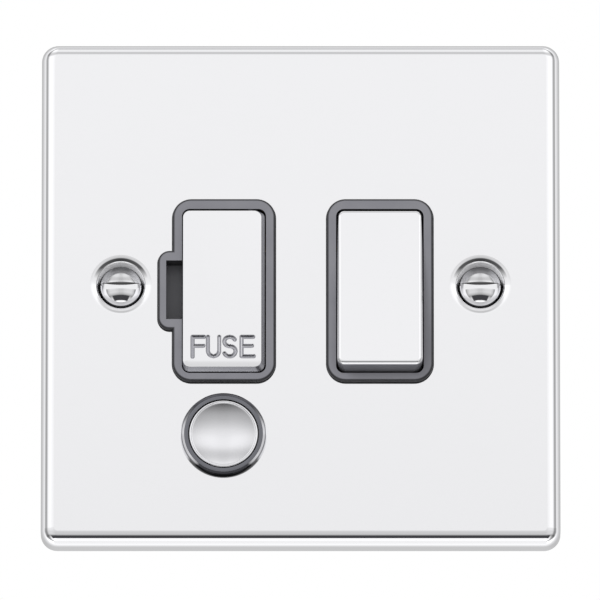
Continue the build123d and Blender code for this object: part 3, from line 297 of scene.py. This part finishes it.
base_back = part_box("rear_base")[1][1] - BARRIER_H
from_behind = Matrix(((-1, 0, 0, 0), (0, 0, 1, 0), (0, 1, 0, 0), (0, 0, 0, 1)))
bm = bmesh.new()
for name in TERMINALS:
    low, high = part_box(name + "_terminal")
    mark_z = low[2] - MARK_OFF if low[2] > 0 else high[2] + MARK_OFF
    letter = bpy.data.curves.new("mark", "FONT")
    letter.body = name.split("_")[1][0].upper()
    letter.align_x = letter.align_y = "CENTER"
    letter.size = MARK_SIZE
    letter.extrude = MARK_RISE
    holder = bpy.data.objects.new("mark", letter)
    bpy.context.scene.collection.objects.link(holder)
    raised = evaluated_mesh(holder)
    raised.transform(Matrix.Translation(((low[0] + high[0]) / 2, base_back, mark_z)) @ from_behind)
    bm.from_mesh(raised)
bmesh.ops.remove_doubles(bm, verts=bm.verts, dist=MERGE)
marks = as_piece("terminal_marks", bm, urea)
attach(marks, "unit")


# The switch: brass see-saw bridges that rock in their brackets between fixed contacts, pressed by two
# sprung nylon plungers in the rocker.
# Natural nylon: a waxy, warm white, clouded in patches 1 mm across.
nylon, tree, shader, place = start_finish("natural nylon", {"IOR": 1.53, "Roughness": 0.4})
mottled(shader, place, 1 * MM, 2.0, [(0.3, "#e3dfd2"), (0.7, "#ebe8dd")])
dress(brass, "live_bridge", "neutral_bridge", "live_fulcrum", "neutral_fulcrum",
      "live_fixed_contact", "neutral_fixed_contact")
dress(nylon, "live_plunger", "neutral_plunger")
dress(zinc, "live_plunger_spring", "neutral_plunger_spring")


# The rocker: a grey ABS moulding that tilts on two pins in the insert, with less painted shade on its walls
# than the other mouldings. A chrome-plated cap is pressed onto its front.
lightly_shaded_grey = moulded_abs("grey rocker ABS", *GREY_ABS, walls=0.75)
dress(lightly_shaded_grey, "switch_rocker")
dress(chrome, "rocker_cap")


# The fuse and its clips: a ceramic cartridge with plated end caps, which presses on two brass clips.
# Glazed ceramic: smooth cream with faint speckles; tin plating: soft grey-white metal.
ceramic, tree, shader, place = start_finish("glazed ceramic", {"IOR": 1.55, "Roughness": 0.22})
mottled(shader, place, 0.4 * MM, 3.0, [(0.3, "#dcd6c6"), (0.5, "#e8e4d8")])
tin, tree, shader, place = start_finish("tin plating", {"Metallic": 1.0, "Base Color": "#d9d8d6"})
rubbing = add_node(tree, "ShaderNodeTexNoise", {"Vector": place, "Scale": 1 / (0.8 * MM), "Detail": 4.0})
uneven(shader, rubbing, 0.2, 0.4)
dress(ceramic, "fuse_barrel")
dress(tin, "fuse_end_caps")
dress(brass, "fuse_clip_upper", "fuse_clip_lower")


# The fuse carrier: a grey moulding that hinges out on pins at its right side, with a chrome cap on its
# face. The cap is die cast, steep at its free edge and bevelled at its hinge and lower edges, and its
# word is pressed in with sloping flanks before plating.
CAP_CORNER = 1.25 * MM
CAP_CORNER_STEPS = 10
CAP_BEVEL_LOW = 0.2 * MM
CAP_SLOPES = {"left": 0.1 * MM, "right": 0.62 * MM, "bottom": 0.78 * MM, "top": 0.14 * MM}
CAP_SLOPE_STEPS = ((0.06, 0.16), (0.9, 0.93), (0.965, 0.985), (1.06, 1.0))
CAP_LEFT_OUT, CAP_RIGHT_OUT, CAP_BOTTOM_OUT = 0.03 * MM, 0.2 * MM, 0.1 * MM
UNPOLISHED_FROM, UNPOLISHED_TO = -0.985, 0.9
STROKE_HALF = 0.34 * MM
STROKE_LIP = 0.09 * MM
LIP_SLOPE, FLANK_SLOPE = math.tan(math.radians(40)), math.tan(math.radians(25))
WORD_TOP, WORD_MIDDLE, WORD_BOTTOM = -9.49, -11.02, -12.83
WORD_FIELD = (-18.7, -7.3, -13.5, -8.8)
WORD_STEP = 0.06


def arc(x, z, wide, high, start, end, steps=14):
    """Points on part of an ellipse, by its middle, its half sizes and two angles in degrees."""
    angles = [math.radians(start + (end - start) * i / steps) for i in range(steps + 1)]
    return [(x + wide * math.cos(a), z + high * math.sin(a)) for a in angles]


def stroke_lines():
    """Centre lines of the strokes of the word FUSE, as lists of points in millimetres."""
    top, middle, bottom = WORD_TOP, WORD_MIDDLE, WORD_BOTTOM
    upper, lower = (top + middle) / 2 - 0.06, (middle + bottom) / 2 - 0.06
    s_upper = arc(-11.87, upper + 0.02, 0.92, top - upper - 0.02, 25, 270)
    s_lower = arc(-11.87, lower, 0.98, upper + 0.02 - (top - upper - 0.02) - lower, 90, -155)
    return [
        [(-18.1, bottom - 0.1), (-18.1, top), (-16.2, top)],
        [(-18.1, middle), (-16.3, middle)],
        [(-15.53, top)] + arc(-14.58, bottom + 0.95, 0.95, 0.95, 180, 360) + [(-13.63, top)],
        s_upper + s_lower[1:],
        [(-7.95, top), (-9.9, top), (-9.9, bottom), (-7.85, bottom)],
        [(-9.9, middle), (-8.15, middle)],
    ]


def depth_of_cut(points):
    """Depth of the strokes at each point of the face, in metres: a steep lip, then a flank to the middle."""
    nearest = np.full(len(points), 1.0)
    for line in stroke_lines():
        for start, end in zip(line, line[1:]):
            start, end = np.array(start) * MM, np.array(end) * MM
            run = end - start
            along = np.clip(((points - start) @ run) / (run @ run), 0, 1)
            nearest = np.minimum(nearest, np.linalg.norm(points - start - along[:, None] * run, axis=1))
    inside = np.clip(STROKE_HALF - nearest, 0, None)
    return LIP_SLOPE * np.minimum(inside, STROKE_LIP) + FLANK_SLOPE * np.clip(inside - STROKE_LIP, 0, None)


def rounded_ring(bm, left, right, bottom, top, corner, depth):
    """Ring of points on a rectangle with round corners, at one depth."""
    middles = ((right - corner, top - corner), (left + corner, top - corner),
               (left + corner, bottom + corner), (right - corner, bottom + corner))
    ring = []
    for quarter, (x, z) in enumerate(middles):
        for x_out, z_out in arc(0, 0, corner, corner, 90 * quarter, 90 * quarter + 90, CAP_CORNER_STEPS):
            ring.append(bm.verts.new((x + x_out, depth, z + z_out)))
    return ring


def join_rings(bm, first, second):
    """Faces between two rings of as many points."""
    count = len(first)
    for i in range(count):
        bm.faces.new((first[i], first[(i + 1) % count], second[(i + 1) % count], second[i]))


low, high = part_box("fuse_carrier_cap")
left, right = low[0] - CAP_LEFT_OUT, high[0] + CAP_RIGHT_OUT
bottom, top = low[2] - CAP_BOTTOM_OUT, high[2]
face_y, back_y = low[1], high[1]
bm = bmesh.new()
rings = [rounded_ring(bm, left, right, bottom, top, CAP_CORNER, y) for y in (back_y, back_y - CAP_BEVEL_LOW)]
for share, rise in CAP_SLOPE_STEPS:
    slope = {side: share * size for side, size in CAP_SLOPES.items()}
    level = back_y - CAP_BEVEL_LOW + rise * (face_y - back_y + CAP_BEVEL_LOW)
    rings.append(rounded_ring(bm, left + slope["left"], right - slope["right"], bottom + slope["bottom"],
                              top - slope["top"], CAP_CORNER - slope["left"], level))
bm.faces.new(rings[0])
for first, second in zip(rings, rings[1:]):
    join_rings(bm, first, second)
columns = round((WORD_FIELD[1] - WORD_FIELD[0]) / WORD_STEP) + 1
rows = round((WORD_FIELD[3] - WORD_FIELD[2]) / WORD_STEP) + 1
places = np.array([(WORD_FIELD[0] + WORD_STEP * i, WORD_FIELD[2] + WORD_STEP * j)
                   for j in range(rows) for i in range(columns)]) * MM
cut = depth_of_cut(places)
field = [bm.verts.new((x, face_y + float(d), z)) for (x, z), d in zip(places, cut)]
for j in range(rows - 1):
    for i in range(columns - 1):
        k = j * columns + i
        bm.faces.new((field[k], field[k + 1], field[k + columns + 1], field[k + columns]))
open_edges = [edge for edge in bm.edges if edge.is_boundary]
bmesh.ops.triangle_fill(bm, use_beauty=True, use_dissolve=False, edges=open_edges, normal=(0, -1, 0))
cap = as_piece("engraved_fuse_cap", bm, chrome)

# Chrome over the casting's slopes and strokes, which the polishing wheel doesn't reach: rougher, and darker
# in a painted shade.
unpolished, tree, shader, place = start_finish("unpolished chrome with painted shade", {"Metallic": 1.0})
casting = mottled(shader, place, 0.3 * MM, 3.0, [(0.3, "#a4a4aa"), (0.7, "#b0b0b6")])
uneven(shader, casting, 0.2, 0.3)
cap.data.materials.append(unpolished)
# Painted shade: the slopes and strokes take the darker chrome.
for face in cap.data.polygons:
    face.material_index = int(UNPOLISHED_FROM < face.normal.y < UNPOLISHED_TO)
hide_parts("fuse_carrier_cap")
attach(cap, "fuse_carrier")
dress(grey, "fuse_carrier")


# The flex outlet: a glossy grey bush snapped into the plate, closed by a push-fit plug that carries a
# dished chrome disc, spun from sheet with a bright rim. The disc is held by the plug's face.
FLEX_X, FLEX_Z = -12.9 * MM, -26.15 * MM
TURNED_SEGMENTS = 96


def turned_piece(name, profile, finish, x, z, segments, sharp=25):
    """Closed lathe shape, solid or a ring, round an axis along the depth, from points of radius and depth."""
    bm = bmesh.new()
    rings = []
    for radius, depth in profile:
        if radius == 0:
            rings.append([bm.verts.new((x, depth, z))])
        else:
            rings.append([bm.verts.new((x + dx, depth, z + dz))
                          for dx, dz in arc(0, 0, radius, radius, 0, 360, segments)[:-1]])
    for first, second in zip(rings, rings[1:]):
        if len(first) == 1 or len(second) == 1:
            pole, ring = (first[0], second) if len(first) == 1 else (second[0], first)
            for i in range(segments):
                bm.faces.new((pole, ring[i], ring[(i + 1) % segments]))
        else:
            join_rings(bm, first, second)
    if len(rings[0]) == len(rings[-1]) == segments:
        join_rings(bm, rings[-1], rings[0])
    return as_piece(name, bm, finish, sharp)


# Glossier ABS for the bush, which is polished in the tool.
glossy = moulded_abs("polished grey ABS", "#65666d", "#6b6c73", 0.12, 0.2)
dress(glossy, "flex_outlet_bush")
dress(grey, "blanking_plug")

# The bush's rim: a narrow chromed bevel round its flange, with painted shade that darkens it along its upper
# side and makes it black below.
RIM_PROUD = 0.03 * MM
RIM_POINTS = ((6.6, 0.02), (6.93, 0.21), (7.12, 0.47), (7.25, 0.98), (7.25, 1.33), (6.95, 1.33),
              (6.85, 0.45), (6.6, 0.12))
ring_chrome, tree, shader, place = start_finish("chrome plating on ABS", {"Metallic": 1.0, "Roughness": 0.06})
direction = tree.nodes["Texture Coordinate"].outputs["Normal"]
lean = add_node(tree, "ShaderNodeSeparateXYZ", {0: direction}).outputs
# Painted shade by the lean of each face: darker where it faces up, black where it faces down.
plating = "#ececf0"
for begin, end, tone in ((0.1, 0.35, "#57575c"), (-0.52, -0.62, "#19191b")):
    share = add_node(tree, "ShaderNodeMapRange", {"Value": lean[2], "From Min": begin, "From Max": end})
    plating = add_node(tree, "ShaderNodeMix", {0: share, 6: plating, 7: tone}, data_type="RGBA")
join(shader, {"Base Color": plating})
rim_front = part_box("flex_outlet_bush")[0][1] - RIM_PROUD
bush_rim = turned_piece("bush_rim", [(radius * MM, rim_front + deep * MM) for radius, deep in RIM_POINTS],
                        ring_chrome, FLEX_X, FLEX_Z, TURNED_SEGMENTS, sharp=20)
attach(bush_rim, "unit")

# Satin chrome: the dish keeps the fine spinning marks, so it mirrors softly, with painted shade that darkens
# its upper and side slopes, and its rim is polished.
DISC_MIDDLE_T = 0.06 * MM
DISC_PROUD = 0.15 * MM
DISC_RIM_W = 0.42 * MM
DISC_EDGE = 0.1 * MM
DISH_STEPS = 28
DISH_POWER = 2.3
low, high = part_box("plug_disc")
disc_r = (high[0] - low[0]) / 2
satin, tree, shader, place = start_finish("satin chrome", {"Metallic": 1.0})
centred = add_node(tree, "ShaderNodeMapping", {
    "Vector": place, "Location": (-FLEX_X, 0.0, -FLEX_Z), "Scale": (1.0, 0.0, 1.0)})
from_axis = add_node(tree, "ShaderNodeVectorMath", {0: centred}, operation="LENGTH")
circle = add_node(tree, "ShaderNodeCombineXYZ", {0: from_axis})
spinning = add_node(tree, "ShaderNodeTexNoise", {"Vector": circle, "Scale": 1 / (0.35 * MM), "Detail": 2.0})
dish_gloss = add_node(tree, "ShaderNodeMapRange", {"Value": spinning, "To Min": 0.2, "To Max": 0.23})
rim = add_node(tree, "ShaderNodeMapRange", {
    "Value": from_axis, "From Min": disc_r - 1.1 * DISC_RIM_W, "From Max": disc_r - 0.9 * DISC_RIM_W})
gloss = add_node(tree, "ShaderNodeMix", {0: rim, 2: dish_gloss, 3: 0.06})
direction = tree.nodes["Texture Coordinate"].outputs["Normal"]
lean = add_node(tree, "ShaderNodeSeparateXYZ", {0: direction}).outputs
sideways = add_node(tree, "ShaderNodeMath", {0: lean[0]}, operation="ABSOLUTE")
# Painted shade: the plating's colour darkens on the dish's upper and side slopes, but not on the rim.
bright = 1.0
for tilt, full_shade_at, unshaded_at, deepest_shade in ((lean[2], -0.3, -0.05, 0.62), (sideways, 0.36, 0.08, 0.74)):
    share = add_node(tree, "ShaderNodeMapRange", {
        "Value": tilt, "From Min": full_shade_at, "From Max": unshaded_at, "To Min": deepest_shade, "To Max": 1.0})
    bright = add_node(tree, "ShaderNodeMath", {0: bright, 1: share}, operation="MULTIPLY")
bright = add_node(tree, "ShaderNodeMix", {0: rim, 2: bright, 3: 1.0})
plating = add_node(tree, "ShaderNodeMix", {0: bright, 6: "#000000", 7: "#f1f1f4"}, data_type="RGBA")
join(shader, {"Base Color": plating, "Roughness": gloss})
rim_r = DISC_RIM_W / 2
dish_r = disc_r - DISC_RIM_W
disc_front = low[1] - DISC_PROUD
dish_middle = high[1] - DISC_MIDDLE_T
dish_deep = dish_middle - disc_front - DISC_EDGE
profile = [(0, high[1]), (disc_r - DISC_EDGE, high[1]), (disc_r, high[1] - DISC_EDGE),
           (disc_r, disc_front + rim_r)]
profile += [(disc_r - rim_r + rx, disc_front + rim_r - ry) for rx, ry in arc(0, 0, rim_r, rim_r, 15, 150, 9)]
for i in range(DISH_STEPS):
    radius = dish_r * (1 - i / DISH_STEPS)
    profile.append((radius, dish_middle - dish_deep * (radius / dish_r)**DISH_POWER))
profile.append((0, dish_middle))
disc = turned_piece("dished_plug_disc", profile, satin, FLEX_X, FLEX_Z, TURNED_SEGMENTS, sharp=40)
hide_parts("plug_disc")
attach(disc, "outlet_plug")


# The cord grip's screws: two zinc-plated cheese-head machine screws from below, with rolled threads,
# which draw the clamp bar up towards the base and would grip the flex between them.
THREAD_SIDES = 26
THREAD_CREST, THREAD_ROOT = 0.06, 0.44


def thread_rule():
    """Node tree that makes a row of threaded shanks: a fine cylinder whose radius follows a helix."""
    tree = bpy.data.node_groups.new("rolled thread", "GeometryNodeTree")
    for name, kind in (("Radius", "Float"), ("Pitch", "Float"), ("Depth", "Float"), ("Length", "Float"),
                       ("Rows", "Int"), ("First", "Vector"), ("Step", "Vector"), ("Turn", "Vector"),
                       ("Finish", "Material")):
        tree.interface.new_socket(name, in_out="INPUT", socket_type="NodeSocket" + kind)
    tree.interface.new_socket("Geometry", in_out="OUTPUT", socket_type="NodeSocketGeometry")
    given = add_node(tree, "NodeGroupInput").outputs
    shank = add_node(tree, "GeometryNodeMeshCylinder", {
        "Vertices": THREAD_SIDES, "Side Segments": given["Rows"], "Radius": given["Radius"],
        "Depth": given["Length"]})
    place = add_node(tree, "GeometryNodeInputPosition")
    x, y, z = add_node(tree, "ShaderNodeSeparateXYZ", {0: place}).outputs
    angle = add_node(tree, "ShaderNodeMath", {0: y, 1: x}, operation="ARCTAN2")
    part_turn = add_node(tree, "ShaderNodeMath", {0: angle, 1: 2 * math.pi}, operation="DIVIDE")
    climbed = add_node(tree, "ShaderNodeMath", {0: z, 1: given["Pitch"]}, operation="DIVIDE")
    phase = add_node(tree, "ShaderNodeMath", {0: climbed, 1: part_turn}, operation="SUBTRACT")
    groove = add_node(tree, "ShaderNodeMath", {0: phase, 1: 0.5}, operation="PINGPONG")
    groove = add_node(tree, "ShaderNodeMapRange", {
        "Value": groove, "From Min": THREAD_CREST, "From Max": THREAD_ROOT})
    from_middle = add_node(tree, "ShaderNodeMath", {0: z}, operation="ABSOLUTE")
    half = add_node(tree, "ShaderNodeMath", {0: given["Length"], 1: 0.5}, operation="MULTIPLY")
    start = add_node(tree, "ShaderNodeMath", {0: half, 1: given["Pitch"]}, operation="SUBTRACT")
    run_out = add_node(tree, "ShaderNodeMapRange", {
        "Value": from_middle, "From Min": start, "From Max": half})
    cut = add_node(tree, "ShaderNodeMath", {0: groove, 1: run_out}, operation="MAXIMUM")
    cut = add_node(tree, "ShaderNodeMath", {0: cut, 1: given["Depth"]}, operation="MULTIPLY")
    cut = add_node(tree, "ShaderNodeMath", {0: cut, 1: given["Radius"]}, operation="DIVIDE")
    inward = add_node(tree, "ShaderNodeMath", {0: cut, 1: -1.0}, operation="MULTIPLY")
    outward = add_node(tree, "ShaderNodeCombineXYZ", {0: x, 1: y})
    moved = add_node(tree, "ShaderNodeVectorMath", {0: outward, "Scale": inward}, operation="SCALE")
    threaded = add_node(tree, "GeometryNodeSetPosition", {"Geometry": shank, "Offset": moved})
    row = add_node(tree, "GeometryNodeMeshLine", {
        "Count": 2, "Start Location": given["First"], "Offset": given["Step"]})
    turned = add_node(tree, "FunctionNodeEulerToRotation", {0: given["Turn"]})
    placed = add_node(tree, "GeometryNodeInstanceOnPoints", {
        "Points": row, "Instance": threaded, "Rotation": turned})
    real = add_node(tree, "GeometryNodeRealizeInstances", {0: placed})
    finished = add_node(tree, "GeometryNodeSetMaterial", {"Geometry": real, "Material": given["Finish"]})
    add_node(tree, "NodeGroupOutput", {0: finished})
    return tree


ROLLED_THREAD = thread_rule()
ROWS_PER_TURN = 8
HEAD_SEGMENTS = 72
NECK_RUN = 0.2 * MM


def threaded_shanks(finish, radius, pitch, depth, length, first, step, turn):
    """Mesh of two threaded shanks, placed by the middle of the first and the step to the second."""
    holder = bpy.data.objects.new("thread", bpy.data.meshes.new("thread"))
    bpy.context.scene.collection.objects.link(holder)
    modifier = holder.modifiers.new("thread", "NODES")
    modifier.node_group = ROLLED_THREAD
    values = {"Radius": radius, "Pitch": pitch, "Depth": depth, "Length": length,
              "Rows": round(ROWS_PER_TURN * length / pitch), "First": first, "Step": step, "Turn": turn,
              "Finish": finish}
    for socket in ROLLED_THREAD.interface.items_tree:
        if socket.name in values:
            modifier[socket.identifier] = values[socket.name]
    return evaluated_mesh(holder)


def slotted_head(profile, finish, slot_wide, slot_floor):
    """Mesh of a turned screw head on the depth axis, with a slot across it down to one depth."""
    head = turned_piece("head", profile, finish, 0, 0, HEAD_SEGMENTS)
    front, reach = min(depth for radius, depth in profile), 2 * max(radius for radius, depth in profile)
    bm = bmesh.new()
    bmesh.ops.create_cube(bm, size=1.0)
    bmesh.ops.scale(bm, vec=(reach, 2 * (slot_floor - front), slot_wide), verts=bm.verts)
    bmesh.ops.translate(bm, vec=(0, front, 0), verts=bm.verts)
    cutter = as_piece("slot_cutter", bm, finish)
    modifier = head.modifiers.new("slot", "BOOLEAN")
    modifier.object = cutter
    modifier.solver = "EXACT"
    mesh = evaluated_mesh(head)
    bpy.data.objects.remove(cutter)
    return mesh


def screw_set(name, node, head, places, shanks, finish):
    """The heads at their places, by a matrix each, and their shanks, as one piece for a CAD node."""
    bm = bmesh.new()
    for place in places:
        copy = head.copy()
        copy.transform(place)
        bm.from_mesh(copy)
        bpy.data.meshes.remove(copy)
    bm.from_mesh(shanks)
    piece = as_piece(name, bm, finish, sharp=22)
    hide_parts(node)
    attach(piece, "unit")
    return piece


GRIP_SCREW_R = 1.5 * MM
GRIP_NECK_R = 1.2 * MM
GRIP_HEAD_R = 2.5 * MM
GRIP_HEAD_H = 1.7 * MM
GRIP_SLOT_W = 0.8 * MM
GRIP_SLOT_D = 0.9 * MM
GRIP_PITCH = 0.6 * MM
GRIP_THREAD_D = 0.28 * MM
low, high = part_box("cord_grip_screws")
grip_y = (low[1] + high[1]) / 2
grip_first, grip_second = low[0] + GRIP_HEAD_R, high[0] - GRIP_HEAD_R
shank_len = high[2] - low[2] - GRIP_HEAD_H
grip_profile = [
    (0, 0), (GRIP_HEAD_R - 0.3 * MM, 0), (GRIP_HEAD_R - 0.1 * MM, 0.06 * MM), (GRIP_HEAD_R, 0.25 * MM),
    (GRIP_HEAD_R, GRIP_HEAD_H), (GRIP_NECK_R, GRIP_HEAD_H), (GRIP_NECK_R, GRIP_HEAD_H + NECK_RUN),
    (0, GRIP_HEAD_H + NECK_RUN)]
grip_head = slotted_head(grip_profile, zinc, GRIP_SLOT_W, GRIP_SLOT_D)
grip_shanks = threaded_shanks(
    zinc, GRIP_SCREW_R, GRIP_PITCH, GRIP_THREAD_D, shank_len, (grip_first, grip_y, high[2] - shank_len / 2),
    (grip_second - grip_first, 0, 0), (0, 0, 0))
standing = Matrix.Rotation(math.radians(90), 4, "X")
grip_places = [Matrix.Translation((x, grip_y, low[2])) @ standing for x in (grip_first, grip_second)]
grip_screws = screw_set("threaded_grip_screws", "cord_grip_screws", grip_head, grip_places, grip_shanks, zinc)


# The assembly screws and the fixing screws: the first hold the base to the posts, and the second go
# through the plate's dimples into the wall box, with chromed raised heads.
FIXING_R = 1.75 * MM
FIXING_PITCH = 0.7 * MM
FIXING_THREAD_D = 0.35 * MM
FIXING_HEAD_R = 3.6 * MM
FIXING_RIM_Y = -3.0 * MM
FIXING_RIM_H = 0.05 * MM
FIXING_DOME = 1.85 * MM
FIXING_NECK_R = 1.5 * MM
FIXING_SLOT_W = 1.1 * MM
FIXING_SLOT_D = 1.0 * MM
DOME_STEPS = 24
dress(zinc, "assembly_screws")
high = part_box("fixing_screws")[1]
apex = FIXING_RIM_Y - FIXING_DOME
dome_r = (FIXING_HEAD_R**2 + FIXING_DOME**2) / (2 * FIXING_DOME)
profile = [(0, apex)]
for i in range(1, DOME_STEPS + 1):
    radius = FIXING_HEAD_R * i / DOME_STEPS
    profile.append((radius, apex + dome_r - math.sqrt(dome_r**2 - radius**2)))
neck_y = FIXING_RIM_Y + FIXING_HEAD_R - FIXING_NECK_R
profile += [(FIXING_HEAD_R, FIXING_RIM_Y + FIXING_RIM_H), (FIXING_NECK_R, neck_y), (FIXING_NECK_R, 0.0),
            (FIXING_NECK_R - NECK_RUN, NECK_RUN), (0, NECK_RUN)]
fixing_head = slotted_head(profile, chrome, FIXING_SLOT_W, apex + FIXING_SLOT_D)
fixing_shanks = threaded_shanks(
    chrome, FIXING_R, FIXING_PITCH, FIXING_THREAD_D, high[1], (-SCREW_X, high[1] / 2, 0),
    (2 * SCREW_X, 0, 0), (math.radians(-90), 0, 0))
fixing_places = [Matrix.Translation((x, 0, 0)) for x in (-SCREW_X, SCREW_X)]
fixing_screws = screw_set(
    "threaded_fixing_screws", "fixing_screws", fixing_head, fixing_places, fixing_shanks, chrome)


# The studio: a white surround with a soft lamp from the upper left, and the camera below the middle
# of the plate, far enough off to see it almost without perspective.
def up(degrees):
    """Place on a ramp, from straight down to straight up, of a height above the horizon."""
    return (math.sin(math.radians(degrees)) + 1) / 2


# The surround as polished pieces mirror it: levels by height and by bearing, before and behind the plate,
# and a dark camera stand low in front.
STAND_TONE = (0.055, 0.055, 0.06, 1.0)
WHITE = (1.0, 1.0, 1.0, 1.0)
world = bpy.data.worlds.new("white studio")
bpy.context.scene.world = world
world.use_nodes = True
tree = world.node_tree
tree.nodes.clear()
x, y, z = add_node(tree, "ShaderNodeSeparateXYZ", {
    0: add_node(tree, "ShaderNodeTexCoord").outputs["Generated"]}).outputs
height = add_node(tree, "ShaderNodeMapRange", {"Value": z, "From Min": -1.0})
ahead = add_node(tree, "ShaderNodeMath", {0: y, 1: -1.0}, operation="MULTIPLY")
bearing = add_node(tree, "ShaderNodeMath", {0: x, 1: ahead}, operation="ARCTAN2")
off_axis = add_node(tree, "ShaderNodeMath", {0: bearing}, operation="ABSOLUTE")
turn = add_node(tree, "ShaderNodeMath", {0: off_axis, 1: math.pi}, operation="DIVIDE")
front = add_node(tree, "ShaderNodeValToRGB", {"Fac": height}, stops=[(up(at), level) for at, level in (
    (-90, 1.15), (-54, 1.15), (-48, 0.9), (-27, 0.3), (-23, 0.46), (-14, 0.66), (-5.5, 0.63), (3, 0.72),
    (12, 0.8), (14.2, 0.9), (15.2, 0.96), (16.2, 0.985), (29, 0.97), (34, 0.72), (41, 0.585), (46, 0.62),
    (51, 0.7), (60, 0.96), (70, 1.0), (81, 0.77), (87, 0.65), (90, 0.63))])
sides = add_node(tree, "ShaderNodeValToRGB", {"Fac": turn}, stops=[(at / 180, level) for at, level in (
    (0, 1.0), (8, 1.0), (14, 1.1), (20, 1.14), (29, 1.2), (48, 1.2), (57, 0.98), (62, 0.68), (66, 0.48),
    (77, 0.39), (82, 0.58), (88, 0.95), (180, 0.95))])
behind = add_node(tree, "ShaderNodeValToRGB", {"Fac": height}, stops=[(up(at), level) for at, level in (
    (-90, 1.1), (-59, 1.08), (-41, 0.85), (-28, 0.7), (-15.5, 0.62), (0, 0.55), (30, 0.53), (60, 0.62),
    (75, 0.84), (87, 0.65), (90, 0.63))])
rear_sides = add_node(tree, "ShaderNodeValToRGB", {"Fac": turn}, stops=[(at / 180, level) for at, level in (
    (90, 1.72), (101, 1.62), (116, 1.26), (134, 1.08), (150, 1.0))])
past_side = add_node(tree, "ShaderNodeValToRGB", {"Fac": turn}, stops=[(86 / 180, 0.0), (94 / 180, 1.0)])
lit_front, lit_rear = [
    add_node(tree, "ShaderNodeMix", {0: 1.0, 6: by_height, 7: by_bearing},
             data_type="RGBA", blend_type="MULTIPLY")
    for by_height, by_bearing in ((front, sides), (behind, rear_sides))]
around = add_node(tree, "ShaderNodeMix", {0: past_side, 6: lit_front, 7: lit_rear}, data_type="RGBA")
stand_height = add_node(tree, "ShaderNodeValToRGB", {"Fac": height}, stops=[
    (up(-53), 0.0), (up(-50), 1.0), (up(-29), 1.0), (up(-26), 0.0)])
stand_width = add_node(tree, "ShaderNodeValToRGB", {"Fac": turn}, stops=[(41 / 180, 1.0), (47 / 180, 0.0)])
stand = add_node(tree, "ShaderNodeMath", {0: stand_height, 1: stand_width}, operation="MULTIPLY")
mirrored = add_node(tree, "ShaderNodeMix", {0: stand, 6: around, 7: STAND_TONE}, data_type="RGBA")

# The surround as a soft fill for everything else, and plain white where it is seen itself.
rays = add_node(tree, "ShaderNodeLightPath").outputs
seen = add_node(tree, "ShaderNodeMath", {0: rays["Is Camera Ray"], 1: rays["Is Transmission Ray"]},
                operation="MAXIMUM")
facing = add_node(tree, "ShaderNodeMapRange", {"Value": ahead, "From Min": -1.0})
soft_fill = add_node(tree, "ShaderNodeValToRGB", {"Fac": facing}, stops=[
    (0.0, 0.95), (0.3, 0.75), (0.42, 0.32), (0.5, 0.4), (1.0, 0.85)])
lit = add_node(tree, "ShaderNodeMix", {0: rays["Is Glossy Ray"], 6: soft_fill, 7: mirrored}, data_type="RGBA")
shown = add_node(tree, "ShaderNodeMix", {0: seen, 6: lit, 7: WHITE}, data_type="RGBA")
glow = add_node(tree, "ShaderNodeBackground", {"Color": shown, "Strength": 1.0})
add_node(tree, "ShaderNodeOutputWorld", {"Surface": glow})

# The lamp: one soft disc, which polished pieces don't mirror.
LAMP_SIZE = 1.2
LAMP_POWER = 26
LAMP_PLACE = (-1.6, -1.5, 1.3)
lamp = bpy.data.lights.new("soft_lamp", "AREA")
lamp.shape = "DISK"
lamp.size = LAMP_SIZE
lamp.energy = LAMP_POWER
lamp_stand = bpy.data.objects.new("soft_lamp", lamp)
lamp_stand.location = LAMP_PLACE
lamp_stand.rotation_euler = (-lamp_stand.location).to_track_quat("-Z", "Y").to_euler()
lamp_stand.visible_glossy = False
bpy.context.scene.collection.objects.link(lamp_stand)

# The floor: white paper far below, which is plain white where it is seen.
FLOOR_Z = -5.6
FLOOR_HALF = 1.6
floor_mesh = bpy.data.meshes.new("floor")
floor_corners = [(x * FLOOR_HALF, y * FLOOR_HALF, FLOOR_Z) for x, y in ((-1, -1), (1, -1), (1, 1), (-1, 1))]
floor_mesh.from_pydata(floor_corners, [], [(0, 1, 2, 3)])
floor = bpy.data.objects.new("floor", floor_mesh)
bpy.context.scene.collection.objects.link(floor)
paper, tree, shader, place = start_finish(
    "white background paper", {"Base Color": "#f2f2f2", "Roughness": 0.9})
rays = add_node(tree, "ShaderNodeLightPath").outputs
seen = add_node(tree, "ShaderNodeMath", {0: rays["Is Camera Ray"], 1: rays["Is Glossy Ray"]},
                operation="MAXIMUM")
seen = add_node(tree, "ShaderNodeMath", {0: seen, 1: rays["Is Transmission Ray"]}, operation="MAXIMUM")
white = add_node(tree, "ShaderNodeEmission", {"Color": WHITE, "Strength": 1.0})
both = add_node(tree, "ShaderNodeMixShader", {0: seen, 1: shader, 2: white})
join(tree.nodes["Material Output"], {"Surface": both})
floor_mesh.materials.append(paper)

# The camera: a long lens, below the middle and aimed at the plate.
CAMERA_BELOW = math.radians(15.2)
CAMERA_FAR = 4.0
CAMERA_CLIP = 50
SENSOR_WIDTH = 36
AIM = Vector((-0.1, 0.0, -1.28)) * MM
FRAME_WIDTH = 100.75 * MM
camera = bpy.data.objects.new("camera", bpy.data.cameras.new("camera"))
camera.data.sensor_width = SENSOR_WIDTH
camera.data.lens = SENSOR_WIDTH * CAMERA_FAR / FRAME_WIDTH
camera.data.clip_end = CAMERA_CLIP
camera.location = AIM + CAMERA_FAR * Vector((0, -math.cos(CAMERA_BELOW), -math.sin(CAMERA_BELOW)))
camera.rotation_euler = (AIM - camera.location).to_track_quat("-Z", "Y").to_euler()
bpy.context.scene.collection.objects.link(camera)
bpy.context.scene.camera = camera
bpy.context.scene.view_settings.view_transform = "Standard"
